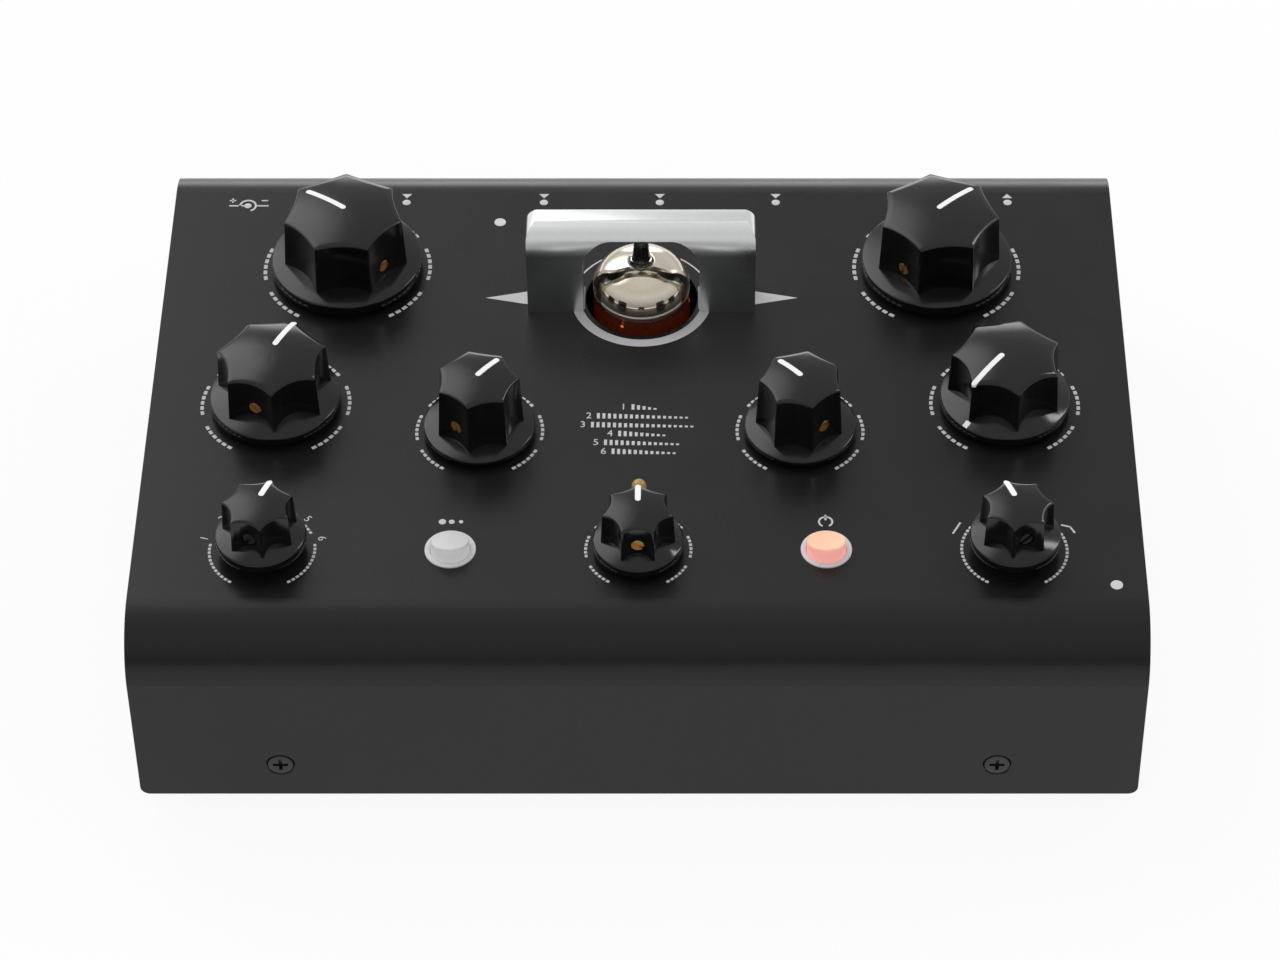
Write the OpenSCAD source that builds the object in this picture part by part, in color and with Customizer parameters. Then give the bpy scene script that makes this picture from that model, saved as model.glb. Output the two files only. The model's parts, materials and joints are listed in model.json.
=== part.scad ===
// Desktop delay unit: a folded steel case with a vacuum tube under a chrome hood,
// nine fluted knobs, two push buttons and a row of rear connectors.
// Millimetres. The front faces -Y, +X is to the right and the feet stand on Z = 0.

/* [Case] */
// Width of the case across the front
case_w = 205; // [200:1:240]
// Depth of the case from the front wall to the rear lip
case_d = 147; // [145:1:180]
// Height of the case without its feet
case_h = 45.5; // [44:0.5:60]
// Outer radius of the front and rear bends of the cover
bend_r = 12.5; // [8:0.5:14]
// Thickness of the folded sheet
sheet_t = 1.5; // [1:0.1:2]
// Gap between folded sheets that lie inside one another
sheet_gap = 0.2; // [0.1:0.05:0.4]
// Radius of the lower corners of the front wall
corner_r = 2; // [1:0.5:4]
// Height of the lip that stands up along the front of the tray
front_lip_h = 16; // [14:1:20]
// Width of the flanges that turn in from the tray's side walls at the rear
flange_w = 9; // [8:0.5:11]

/* [Feet] */
// Diameter of a rubber foot at its top
foot_d = 14; // [12:0.5:18]
// Height of a rubber foot
foot_h = 5; // [4:0.5:8]
// How much narrower a foot is on each side where it meets the table
foot_taper = 1; // [0:0.25:1.5]
// Rubber left between the foot's screw head and the tray
foot_web = 1.5; // [1.2:0.1:1.8]
// Distance from the side of the case to the middle of a foot
foot_inset_x = 14; // [12:1:25]
// Distance from the front or the rear of the case to the middle of a foot
foot_inset_y = 16; // [13:1:22]

/* [Screws] */
// Thread diameter of the screws
screw_d = 3; // [2.5:0.1:3.2]
// Head diameter of the countersunk case screws
csk_head_d = 6; // [5.5:0.1:6.6]
// Length of a case screw, head included
case_screw_l = 7; // [6:0.5:9]
// Head diameter of the pan head screws
pan_head_d = 5.4; // [5:0.1:6]
// Head height of the pan head screws
pan_head_h = 1.9; // [1.6:0.1:2.1]
// Distance of the front screws from the middle of the case
front_screw_x = 73.2; // [50:0.1:85]
// Height of the front screws above the lower edge of the cover
front_screw_h = 9; // [7:0.5:10]
// Radial gap between a thread and its hole
thread_gap = 0.05; // [0.03:0.01:0.1]
// Radial gap round a piece that passes freely through a hole
clear_gap = 0.2; // [0.15:0.05:0.3]

/* [Control places] */
// Distance of the rear knobs from the middle
rear_knob_x = 63.5; // [60:0.1:70]
// Distance of the rear knobs in front of the rear lip
rear_knob_y = 37.2; // [33:0.1:41]
// Distance of the outer middle knobs from the middle
outer_knob_x = 76.2; // [72:0.1:80]
// Distance of the outer middle knobs behind the front wall
outer_knob_y = 67.9; // [64:0.1:72]
// Distance of the inner middle knobs from the middle
inner_knob_x = 33.3; // [30:0.1:40]
// Distance of the inner middle knobs behind the front wall
inner_knob_y = 60; // [56:0.1:66]
// Distance of the outer front knobs from the middle
front_knob_x = 76.2; // [70:0.1:80]
// Distance of the front row behind the front wall
front_row_y = 25.9; // [25:0.1:30]
// Distance of the push buttons from the middle
button_x = 38.1; // [30:0.1:45]
// Distance of the rear indicator from the middle, to the left
rear_lens_x = 31.1; // [28:0.1:40]
// Distance of the rear indicator in front of the rear lip
rear_lens_y = 22.2; // [20:0.1:25]
// Distance of the front indicator from the right side of the case
front_lens_inset = 6.2; // [5.5:0.1:9]
// Distance of the front indicator behind the front wall
front_lens_y = 16.2; // [16:0.1:24]
// Distance of the amber lamp behind the front wall
lamp_y = 43; // [39:0.1:50]

/* [Pointer angles, clockwise from the rear] */
// Rear left knob
rear_left_turn = -52; // [-150:1:150]
// Rear right knob
rear_right_turn = 45; // [-150:1:150]
// Outer middle left knob
outer_left_turn = 22; // [-150:1:150]
// Inner middle left knob
inner_left_turn = 37; // [-150:1:150]
// Inner middle right knob
inner_right_turn = -41; // [-150:1:150]
// Outer middle right knob
outer_right_turn = -138; // [-150:1:150]
// Front left selector knob
front_left_turn = 18; // [-75:1:75]
// Front centre knob
front_centre_turn = 0; // [-150:1:150]
// Front right selector knob
front_right_turn = -18; // [-75:1:75]

/* [Large knobs] */
// Skirt diameter
large_skirt_d = 32.3; // [30:0.1:34]
// Height of the skirt's rim
large_rim_h = 2.4; // [1.5:0.1:3]
// Diameter over the lobes at the top
large_body_d = 25.7; // [23:0.1:28]
// Height of the knob's top above the panel
large_h = 17.9; // [15:0.1:20]
// Rise of the domed top over the lobes
large_dome = 1.8; // [0.5:0.1:3]
// Depth of a flute below the line between two lobes
large_flute = 0.9; // [0.6:0.1:2]
// Length of the pointer groove
large_pointer_l = 11; // [8:0.1:12]
// How far the groove ends before a lobe's tip, below zero where it runs out over it
large_pointer_edge = 2.4; // [-1:0.1:3]

/* [Wide knobs] */
// Skirt diameter
wide_skirt_d = 27.1; // [25:0.1:29]
// Height of the skirt's rim
wide_rim_h = 2; // [1.5:0.1:3]
// Diameter over the lobes at the top
wide_body_d = 23.1; // [20:0.1:24]
// Height of the knob's top above the panel
wide_h = 16; // [13:0.1:18]
// Rise of the domed top over the lobes
wide_dome = 2.2; // [0.5:0.1:3]
// Depth of a flute below the line between two lobes
wide_flute = 1.5; // [0.6:0.1:2.2]
// Length of the pointer groove
wide_pointer_l = 10.4; // [6:0.1:11]
// How far the groove ends before a lobe's tip, below zero where it runs out over it
wide_pointer_edge = -0.4; // [-1:0.1:3]

/* [Medium knobs] */
// Skirt diameter
medium_skirt_d = 23.2; // [22:0.1:26]
// Height of the skirt's rim
medium_rim_h = 1.2; // [1:0.1:2]
// Diameter over the lobes at the top
medium_body_d = 17.4; // [16:0.1:20]
// Height of the knob's top above the panel
medium_h = 16.3; // [13:0.1:18]
// Rise of the domed top over the lobes
medium_dome = 1.2; // [0.5:0.1:3]
// Depth of a flute below the line between two lobes
medium_flute = 0.6; // [0.4:0.1:1.2]
// Length of the pointer groove
medium_pointer_l = 7.2; // [4:0.1:8]
// How far the groove ends before a lobe's tip, below zero where it runs out over it
medium_pointer_edge = 1.7; // [-1:0.1:3]

/* [Small knobs] */
// Skirt diameter
small_skirt_d = 18.4; // [17:0.1:20]
// Height of the skirt's rim
small_rim_h = 2.2; // [1.4:0.1:2.4]
// Diameter over the lobes at the top
small_body_d = 14.7; // [13.6:0.1:16]
// Height of the knob's top above the panel
small_h = 12.7; // [11:0.1:15]
// Rise of the domed top over the lobes
small_dome = 1.1; // [0.5:0.1:3]
// Depth of a flute below the line between two lobes
small_flute = 1.1; // [0.4:0.05:1.3]
// Length of the pointer groove
small_pointer_l = 6.2; // [4:0.1:7]
// How far the groove ends before a lobe's tip, below zero where it runs out over it
small_pointer_edge = -0.4; // [-1:0.1:3]

/* [Knob details] */
// Gap between the panel and a skirt
knob_lift = 1.3; // [1:0.1:1.6]
// How much higher the two selector knobs stand
selector_lift = 1.5; // [0:0.1:2.5]
// Rise of the skirt from its rim to the body
skirt_rise = 0.5; // [0.3:0.1:1.2]
// How much a body widens for each millimetre down from its top
knob_taper = 0.05; // [0:0.01:0.08]
// Width of the blunt edge of a lobe
lobe_land = 0.4; // [0.3:0.1:0.8]
// Width of the pointer groove
pointer_w = 1.2; // [0.8:0.1:1.6]
// Depth of the pointer groove
pointer_depth = 0.4; // [0.2:0.1:0.6]
// Plastic left above the shaft
knob_roof = 3; // [2.5:0.1:4]
// Diameter of the set screws
set_screw_d = 3; // [2.5:0.1:3.2]
// Height of the set screws above the panel
set_screw_h = 7; // [6.6:0.1:8]
// How far a set screw lies below the flute that it enters
set_screw_sink = 0.6; // [0.3:0.1:0.8]

/* [Pots and selectors] */
// Shaft diameter
shaft_d = 6; // [5.8:0.1:6.4]
// Radial running gap of a shaft in its bushing
shaft_gap = 0.05; // [0.02:0.01:0.1]
// Depth of the flat on a shaft
shaft_flat = 1; // [0.6:0.1:1.4]
// Outer diameter of a bushing
bushing_d = 7.4; // [7.2:0.1:7.8]
// Width of a shaft nut across its flats
nut_af = 9.6; // [9.2:0.1:10]
// Height of a shaft nut
nut_h = 1.8; // [1.4:0.1:2]
// How far a bushing stands above its nut
bushing_over = 0.6; // [0.3:0.1:0.8]
// Diameter of a potentiometer body
pot_d = 16.6; // [15:0.2:18]
// Diameter of a selector body
selector_d = 20; // [18:0.5:22]
// Distance from the panel down to the control board
pot_depth = 8; // [7:0.5:10]

/* [Buttons] */
// Diameter of a button cap
cap_d = 7.9; // [7:0.1:9]
// Height of a cap above the panel
cap_h = 2.1; // [1.7:0.1:3]
// Radius of the rounded edge of a cap
cap_edge_r = 0.5; // [0.3:0.1:1.2]
// Travel of a button
button_travel = 1.2; // [0.8:0.1:1.4]
// Outer diameter of the bezel ring round a cap
bezel_d = 10.4; // [10:0.1:11]
// Height of the bezel ring above the panel
bezel_h = 0.4; // [0.3:0.1:0.6]
// Diameter of the stem under a cap
stem_d = 3.4; // [2.8:0.1:3.8]
// Width of a board switch under a button
tact_w = 7; // [6:0.5:8]

/* [Indicators] */
// Diameter of the flush lenses
lens_d = 2.5; // [2:0.1:3.2]
// Diameter of the amber lamp
lamp_d = 3.1; // [2.8:0.1:3.6]
// Height of the amber lamp above the panel
lamp_h = 2.6; // [2:0.1:4]

/* [Tube] */
// Distance of the tube in front of the rear lip
tube_y = 46.4; // [43:0.1:49]
// Glass diameter
tube_d = 20.8; // [19.5:0.1:21.4]
// Glass thickness
glass_t = 1; // [0.8:0.1:1.4]
// Height above the panel where the dome starts
dome_start = 3.8; // [2:0.1:5]
// Radius of the dome's shoulder
shoulder_r = 6.5; // [5:0.1:7.5]
// Radius of the dome's crown
crown_r = 14; // [12:0.1:16]
// Height of the exhaust pip above the dome
pip_h = 6.6; // [4:0.1:7]
// Diameter of the pip where it leaves the dome
pip_d = 4.2; // [3:0.1:4.6]
// Diameter of the hole in the panel round the tube
tube_hole_d = 24; // [23:0.1:25]
// Diameter of the circle of pins
pin_circle_d = 11.9; // [11:0.1:12.5]
// Diameter of a pin
pin_d = 1; // [0.8:0.1:1.2]
// Diameter of the tube socket
socket_d = 22; // [20:0.5:24]
// Height of the tube socket
socket_h = 9.4; // [8.5:0.1:11]

/* [Tube hood] */
// Width of the hood
hood_w = 48.5; // [44:0.5:54]
// Depth of the hood
hood_d = 8.3; // [8:0.1:14]
// Height of the hood
hood_h = 22; // [21.5:0.1:26]
// Radius of the long round along the hood's upper front edge
hood_round_r = 6.2; // [4:0.1:7]
// Wall thickness of the hood
hood_wall = 2; // [1.6:0.1:2.2]
// Radius of the hood's upper end corners
hood_end_r = 2.3; // [1.5:0.1:4]
// Distance of the hood's front face in front of the rear lip
hood_y = 50.9; // [50:0.1:52]
// Width of the arch
arch_w = 24.8; // [24:0.1:27]
// Radius of the arch's upper corners
arch_r = 6; // [4:0.1:8]
// Metal left over the top of the arch
arch_cap = 2.7; // [2.3:0.1:3]
// Diameter of the pillars that take the hood's screws
pillar_d = 6.4; // [5:0.1:7]

/* [Boards] */
// Board thickness
pcb_t = 1.6; // [1.2:0.1:2]
// Height of the supports under the main board
support_h = 2.5; // [2:0.5:4]
// Gap between a board and the side walls
board_gap = 2; // [1:0.5:2.5]

/* [Rear connectors] */
// Distance of the first phone jack left of the middle
first_jack_x = 21.7; // [18:0.1:24]
// Distance between two phone jacks
jack_pitch = 25.4; // [20:0.1:25.8]
// Diameter of the hole in a phone jack
jack_bore_d = 6.5; // [6.4:0.1:6.7]
// Depth of the hole in a phone jack
jack_bore_l = 30; // [26:1:31]
// Outer diameter of a jack's threaded sleeve
jack_sleeve_d = 9.4; // [9:0.1:10]
// How far a jack's sleeve stands out of the rear panel
jack_reach = 5; // [4.6:0.1:6]
// Width of a jack's body
jack_w = 15.5; // [14:0.5:18]
// Length of a jack's body
jack_l = 27; // [26:1:32]
// Height of the connectors' axis above the main board
jack_axis_h = 8.9; // [8.4:0.1:10]
// Width of a jack nut across its flats
jack_nut_af = 12.7; // [12:0.1:14]
// Height of a jack nut
jack_nut_h = 2.4; // [2:0.1:3]
// Distance of the round socket from the left side of the case
din_x = 50.7; // [49:0.1:56]
// Diameter of the round socket's barrel
din_d = 16.4; // [15.8:0.1:16.6]
// Distance of the power switch from the left side of the case
power_x = 29.5; // [28.5:0.1:30.5]
// Distance of the inlet from the left side of the case
inlet_inset = 16; // [15.5:0.1:17]
// Diameter of the hole in the inlet
inlet_bore_d = 6.4; // [6:0.1:6.8]
// Diameter of the pin in the inlet
inlet_pin_d = 2.1; // [1.9:0.1:2.5]
// Width of the power switch's body
switch_w = 10; // [9.6:0.1:11]
// Height of the power switch's body
switch_h = 16; // [15.8:0.1:17]
// Tilt of the power switch's rocker to either side of its middle
rocker_tilt = 8; // [5:0.5:8]

/* [Hidden] */
$fn = 64;
// Overlap of a cut with the face that it opens
cut = 1;

// Heights
case_z = foot_h;
floor_z = case_z + sheet_t;
panel_z = case_z + case_h;
under_z = panel_z - sheet_t;
bend_z = panel_z - bend_r;
control_z = under_z - pot_depth;
main_z = floor_z + support_h + pcb_t;
axis_z = main_z + jack_axis_h;
// Space between the tallest rear connector and the cover's rear lip
lip_margin = 0.5;
bezel_edge = 1;
lip_z = axis_z + max(din_d / 2 + clear_gap, switch_h / 2 + bezel_edge) + lip_margin;

// Depths: the origin is the middle of the whole box, with the jack sleeves at the rear
rear_reach = jack_reach - sheet_t - sheet_gap;
front_y = -(case_d + rear_reach) / 2;
rear_y = front_y + case_d;
inset = sheet_t + sheet_gap;
panel_out_y = rear_y - inset;
panel_in_y = panel_out_y - sheet_t;
flange_y = panel_in_y - sheet_gap - sheet_t;

// Widths
half_w = case_w / 2;
side_in = half_w - sheet_t;
flange_x = side_in - flange_w / 2;
board_half = side_in - board_gap;

// Knob kinds: skirt diameter, rim height, body diameter, height, flute depth,
// groove length, groove edge, dome rise
LARGE = [
    large_skirt_d, large_rim_h, large_body_d, large_h, large_flute,
    large_pointer_l, large_pointer_edge, large_dome
];
WIDE = [
    wide_skirt_d, wide_rim_h, wide_body_d, wide_h, wide_flute,
    wide_pointer_l, wide_pointer_edge, wide_dome
];
MEDIUM = [
    medium_skirt_d, medium_rim_h, medium_body_d, medium_h, medium_flute,
    medium_pointer_l, medium_pointer_edge, medium_dome
];
SMALL = [
    small_skirt_d, small_rim_h, small_body_d, small_h, small_flute,
    small_pointer_l, small_pointer_edge, small_dome
];
// Controls: place across, place behind the front wall, kind, pointer angle, body diameter, extra lift
REAR_LEFT = [-rear_knob_x, case_d - rear_knob_y, LARGE, rear_left_turn, pot_d, 0];
REAR_RIGHT = [rear_knob_x, case_d - rear_knob_y, LARGE, rear_right_turn, pot_d, 0];
OUTER_LEFT = [-outer_knob_x, outer_knob_y, WIDE, outer_left_turn, pot_d, 0];
INNER_LEFT = [-inner_knob_x, inner_knob_y, MEDIUM, inner_left_turn, pot_d, 0];
INNER_RIGHT = [inner_knob_x, inner_knob_y, MEDIUM, inner_right_turn, pot_d, 0];
OUTER_RIGHT = [outer_knob_x, outer_knob_y, WIDE, outer_right_turn, pot_d, 0];
FRONT_LEFT = [-front_knob_x, front_row_y, SMALL, front_left_turn, selector_d, selector_lift];
FRONT_CENTRE = [0, front_row_y, SMALL, front_centre_turn, pot_d, 0];
FRONT_RIGHT = [front_knob_x, front_row_y, SMALL, front_right_turn, selector_d, selector_lift];
POTS = [REAR_LEFT, REAR_RIGHT, OUTER_LEFT, INNER_LEFT, INNER_RIGHT, OUTER_RIGHT, FRONT_CENTRE];
SELECTORS = [FRONT_LEFT, FRONT_RIGHT];
lobes = 7;
lobe_half = 180 / lobes;
// Space above a bushing under its knob, and round its nut
recess_gap = 0.5;
knob_chamfer = 0.4;
bushing_top = nut_h + bushing_over;
recess_h = bushing_top + recess_gap;
recess_d = nut_af / cos(30) + 2 * recess_gap;
end_gap = 0.4;

// Walls and the wiper disc inside a pot or selector body
pot_wall = 1.6;
pot_roof = 1.8;
wiper_t = 1.2;
wiper_gap = 0.4;

// Button pieces below the panel
cap_gap = 0.3;
bezel_neck_d = cap_d + 2 * cap_gap + 1;
cap_flange_d = cap_d + 2.4;
cap_flange_t = 1;
cap_flange_z = under_z - cap_gap;
tact_h = cap_flange_z - cap_flange_t - button_travel - end_gap - control_z;
stem_bottom = control_z + button_travel + 2 * end_gap;

// Lens pieces below the panel
lens_flange_w = 0.7;
lens_flange_t = 1;

// Tube places
tube_mid_y = case_d - tube_y;
seat_z = main_z + socket_h;
dome_z = panel_z + dome_start;
crown_z = dome_z - sqrt(pow(crown_r - shoulder_r, 2) - pow(tube_d / 2 - shoulder_r, 2));
apex_z = crown_z + crown_r;
glass_base_t = 2.5;
pin_count = 9;
pin_step = 36;
pin_l = 6.5;
mica_t = 0.5;
mica_gap = 0.3;
low_mica_gap = 5;
top_mica_drop = 6;
low_mica_z = seat_z + glass_base_t + low_mica_gap;
top_mica_z = dome_z - top_mica_drop;
plate_w = 5.6;
plate_d = 11;
plate_t = 0.6;
plate_x = 4;
cathode_d = 1.8;
getter_d = 9;
getter_t = 1;

// Hood places
hood_front_y = case_d - hood_y;
hood_mid_y = hood_front_y + hood_d / 2;
arch_h = hood_h - arch_cap;
pillar_x = (arch_w / 2 + hood_w / 2 - hood_wall) / 2;
hood_screw_depth = 8;

// Rear switch, inlet and round socket
switch_wall = 0.9;
switch_depth = 12;
rocker_gap = 0.3;
rocker_pin_d = 2;
pivot_y = panel_out_y - sheet_t / 2;
inlet_x = half_w - inlet_inset;
power_at = half_w - power_x;
din_at = half_w - din_x;
inlet_w = 9;
inlet_h = 11;
inlet_l = 14;
inlet_axis_h = 6.5;
inlet_hole_d = 8;
inlet_bore_l = 10;
din_l = 14;
din_w = 18;
din_proud = 1;
din_groove_out = 13.8;
din_groove_in = 11.6;
din_groove_l = 8;
din_pin_d = 1.5;
din_pin_circle = 7;
contact_sink = 1;

// Places on the main board
support_d = 6;
support_neck_d = 3;
support_inset = 5;
support_front_y = 32;
support_rear_gap = 43;
part_pitch = 24;
capacitor_d = 10;
capacitor_h = 16;
chip_w = 14;
chip_t = 1.8;
// Distances between the tube, the link, the chips and the capacitors
link_gap = 24.6;
chip_gap = 14;
capacitor_gap = 22;
link_y = tube_mid_y - link_gap;
chip_row_y = link_y - chip_gap;
part_row_y = chip_row_y - capacitor_gap;
link_w = 30;
link_d = 6;
link_h = 9;
link_pins = 8;
link_pin_w = 0.8;
board_front_y = 8;
control_rear_gap = 15;
control_rear_y = case_d - control_rear_gap;

function at_y(y) = front_y + y;
function body_r(kind) = kind[2] / 2;
// Radius of the sphere that a knob's domed top is part of
function dome_r(kind) =
    (pow(body_r(kind), 2) + pow(kind[7], 2)) / (2 * kind[7]);
// Radius of the bottom of a flute at the height of the set screw
function flute_floor(kind) =
    body_r(kind) * cos(lobe_half) - kind[4] + knob_taper * (kind[3] - kind[7] - set_screw_h);

// Basic shapes

module along_x(length) {
    rotate([90, 0, 90])
        linear_extrude(height = length, center = true)
            children();
}

// Side outline of the case, drawn inside the outer faces by a distance
module case_outline(by) {
    translate([front_y + by, case_z])
        square([case_d - 2 * by, case_h - bend_r]);
    translate([front_y + bend_r, case_z])
        square([case_d - 2 * bend_r, case_h - by]);
    for (y = [front_y + bend_r, rear_y - bend_r])
        translate([y, bend_z])
            circle(r = bend_r - by);
}

// Block of the case's width and height with round lower corners at the sides
module corner_block() {
    translate([0, rear_y + cut, case_z])
        rotate([90, 0, 0])
            linear_extrude(height = case_d + 2 * cut) {
                translate([-half_w, corner_r])
                    square([case_w, case_h]);
                translate([corner_r - half_w, 0])
                    square([case_w - 2 * corner_r, case_h]);
                for (side = [-1, 1])
                    translate([side * (half_w - corner_r), corner_r])
                        circle(r = corner_r);
            }
}

// Countersunk screw that points along +Y with its head flush at Y = 0
module csk_shape(gap) {
    head_h = (csk_head_d - screw_d) / 2;
    rotate([-90, 0, 0]) {
        cylinder(d1 = csk_head_d + 2 * gap, d2 = screw_d + 2 * gap, h = head_h);
        cylinder(d = screw_d + 2 * gap, h = case_screw_l);
    }
}

module csk_screw() {
    recess_w = csk_head_d / 8;
    recess_l = csk_head_d * 0.55;
    recess_depth = 0.9;
    difference() {
        csk_shape(0);
        for (turn = [0, 90])
            rotate([0, turn, 0])
                translate([-recess_l / 2, -cut, -recess_w / 2])
                    cube([recess_l, recess_depth + cut, recess_w]);
    }
}

// Pan head screw that points along +Z with its head below Z = 0
module pan_screw(length) {
    slot_w = 0.8;
    slot_depth = 0.8;
    difference() {
        union() {
            cylinder(d = screw_d, h = length);
            translate([0, 0, -pan_head_h])
                cylinder(d = pan_head_d, h = pan_head_h);
        }
        for (turn = [0, 90])
            rotate(turn)
                translate([-pan_head_d / 3, -slot_w / 2, -pan_head_h - cut])
                    cube([pan_head_d * 2 / 3, slot_w, slot_depth + cut]);
    }
}

module hex_nut(flats, height, hole) {
    difference() {
        cylinder(d = flats / cos(30), h = height, $fn = 6);
        translate([0, 0, -cut])
            cylinder(d = hole, h = height + 2 * cut);
    }
}

// Places of the case screws, each pointing into the case
module at_front_screws() {
    for (side = [-1, 1])
        translate([side * front_screw_x, front_y, case_z + front_screw_h])
            children();
}

module at_lip_screws() {
    for (side = [-1, 1])
        translate([side * flange_x, rear_y, (lip_z + bend_z) / 2])
            rotate(180)
                children();
}

module at_panel_screws() {
    for (side = [-1, 1])
        translate([side * flange_x, panel_out_y, axis_z])
            rotate(180)
                children();
}

module at_feet() {
    for (x = [foot_inset_x - half_w, half_w - foot_inset_x])
        for (y = [foot_inset_y, case_d - foot_inset_y])
            translate([x, at_y(y), 0])
                children();
}

module at_control(control) {
    translate([control[0], at_y(control[1]), panel_z])
        rotate(-control[3])
            children();
}

// Where a control's knob stands, which is higher on a selector
module at_knob(control) {
    translate([0, 0, control[5]])
        at_control(control)
            children();
}

module at_buttons() {
    for (side = [-1, 1])
        translate([side * button_x, at_y(front_row_y), 0])
            children();
}

module at_lenses() {
    translate([-rear_lens_x, at_y(case_d - rear_lens_y), 0])
        children();
    translate([half_w - front_lens_inset, at_y(front_lens_y), 0])
        children();
}

module at_jacks() {
    for (i = [0:4])
        translate([i * jack_pitch - first_jack_x, 0, axis_z])
            children();
}

module at_tube() {
    translate([0, at_y(tube_mid_y), 0])
        children();
}

module at_hood_screws() {
    for (side = [-1, 1])
        translate([side * pillar_x, at_y(hood_mid_y), 0])
            children();
}

module at_tube_pins() {
    at_tube()
        for (i = [0 : pin_count - 1])
            rotate(i * pin_step)
                translate([pin_circle_d / 2, 0, 0])
                    children();
}

// Hole through the panel, from below the sheet to above it
module panel_hole(diameter) {
    translate([0, 0, under_z - cut])
        cylinder(d = diameter, h = sheet_t + 2 * cut);
}

// Cylinder that points along +Y
module y_cylinder(diameter, from, to) {
    translate([0, from, 0])
        rotate([-90, 0, 0])
            cylinder(d = diameter, h = to - from);
}

// Case

module top_cover() {
    color([0.16, 0.16, 0.17])
        difference() {
            intersection() {
                along_x(case_w)
                    difference() {
                        case_outline(0);
                        translate([0, -cut])
                            case_outline(sheet_t);
                        case_outline(sheet_t);
                        translate([rear_y - bend_r, case_z - cut])
                            square([bend_r + cut, lip_z - case_z + cut]);
                    }
                corner_block();
            }
            for (control = concat(POTS, SELECTORS))
                translate([control[0], at_y(control[1]), 0])
                    panel_hole(bushing_d + 2 * clear_gap);
            at_buttons()
                panel_hole(bezel_neck_d + 2 * thread_gap);
            at_lenses()
                panel_hole(lens_d + 2 * thread_gap);
            translate([0, at_y(lamp_y), 0])
                panel_hole(lamp_d + 2 * thread_gap);
            at_tube()
                panel_hole(tube_hole_d);
            at_hood_screws()
                panel_hole(screw_d + 2 * clear_gap);
            at_front_screws()
                csk_shape(thread_gap);
            at_lip_screws()
                csk_shape(thread_gap);
        }
}

module rear_panel() {
    plate_half = side_in - sheet_gap;
    window_w = switch_w + 2 * clear_gap;
    window_h = switch_h + 2 * clear_gap;
    color([0.16, 0.16, 0.17])
        difference() {
            translate([-plate_half, panel_in_y, floor_z])
                cube([2 * plate_half, sheet_t, bend_z - floor_z]);
            at_jacks()
                y_cylinder(jack_sleeve_d + 2 * clear_gap, panel_in_y - cut, panel_out_y + cut);
            translate([-din_at, 0, axis_z])
                y_cylinder(din_d + 2 * clear_gap, panel_in_y - cut, panel_out_y + cut);
            translate([-inlet_x, 0, main_z + inlet_axis_h])
                y_cylinder(inlet_hole_d, panel_in_y - cut, panel_out_y + cut);
            translate([-power_at - window_w / 2, panel_in_y - cut, axis_z - window_h / 2])
                cube([window_w, sheet_t + 2 * cut, window_h]);
            at_panel_screws()
                csk_shape(thread_gap);
            at_lip_screws()
                csk_shape(thread_gap);
        }
}

module base_tray() {
    color([0.2, 0.2, 0.21])
        difference() {
            intersection() {
                union() {
                    translate([-half_w, front_y + inset, case_z])
                        cube([case_w, case_d - 2 * inset, sheet_t]);
                    for (side = [-1, 1])
                        translate([side * (half_w - sheet_t / 2), 0, 0])
                            along_x(sheet_t)
                                case_outline(inset);
                    translate([-half_w, front_y + inset, case_z])
                        cube([case_w, sheet_t, front_lip_h]);
                    for (x = [-side_in, side_in - flange_w])
                        translate([x, flange_y, case_z])
                            cube([flange_w, sheet_t, bend_z - case_z]);
                }
                corner_block();
            }
            at_feet()
                cylinder(d = screw_d + 2 * thread_gap, h = floor_z + cut);
            at_front_screws()
                csk_shape(thread_gap);
            at_panel_screws()
                csk_shape(thread_gap);
            at_lip_screws()
                csk_shape(thread_gap);
        }
}

module rubber_feet() {
    color([0.08, 0.08, 0.08])
        at_feet()
            difference() {
                cylinder(d1 = foot_d - 2 * foot_taper, d2 = foot_d, h = foot_h);
                translate([0, 0, -cut])
                    cylinder(d = pan_head_d + 4 * clear_gap, h = foot_h - foot_web + cut);
                cylinder(d = screw_d + 2 * clear_gap, h = foot_h + cut);
            }
}

module foot_screws() {
    color("silver")
        at_feet()
            translate([0, 0, foot_h - foot_web])
                pan_screw(foot_web + sheet_t + support_h / 2);
}

module case_screws() {
    color([0.1, 0.1, 0.1]) {
        at_front_screws()
            csk_screw();
        at_lip_screws()
            csk_screw();
        at_panel_screws()
            csk_screw();
    }
}

// Tube and hood

// Side outline of the hood with its round front edge, drawn inside its outer faces by a distance
module hood_side(by) {
    front_y = at_y(hood_front_y);
    round_z = hood_h - hood_round_r;
    intersection() {
        translate([front_y + by, panel_z])
            square([hood_d - 2 * by, hood_h - by]);
        union() {
            translate([front_y, panel_z])
                square([hood_d, round_z]);
            translate([front_y + hood_round_r, panel_z])
                square([hood_d, hood_h]);
            translate([front_y + hood_round_r, panel_z + round_z])
                circle(r = hood_round_r - by);
        }
    }
}

// Front outline with two round upper corners, standing on the panel
module round_top(width, height, radius) {
    translate([-width / 2, panel_z - cut])
        square([width, height - radius + cut]);
    translate([radius - width / 2, panel_z])
        square([width - 2 * radius, height]);
    for (side = [-1, 1])
        translate([side * (width / 2 - radius), panel_z + height - radius])
            circle(r = radius);
}

module through_y() {
    translate([0, at_y(hood_front_y + hood_d) + cut, 0])
        rotate([90, 0, 0])
            linear_extrude(height = hood_d + 2 * cut)
                children();
}

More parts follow.
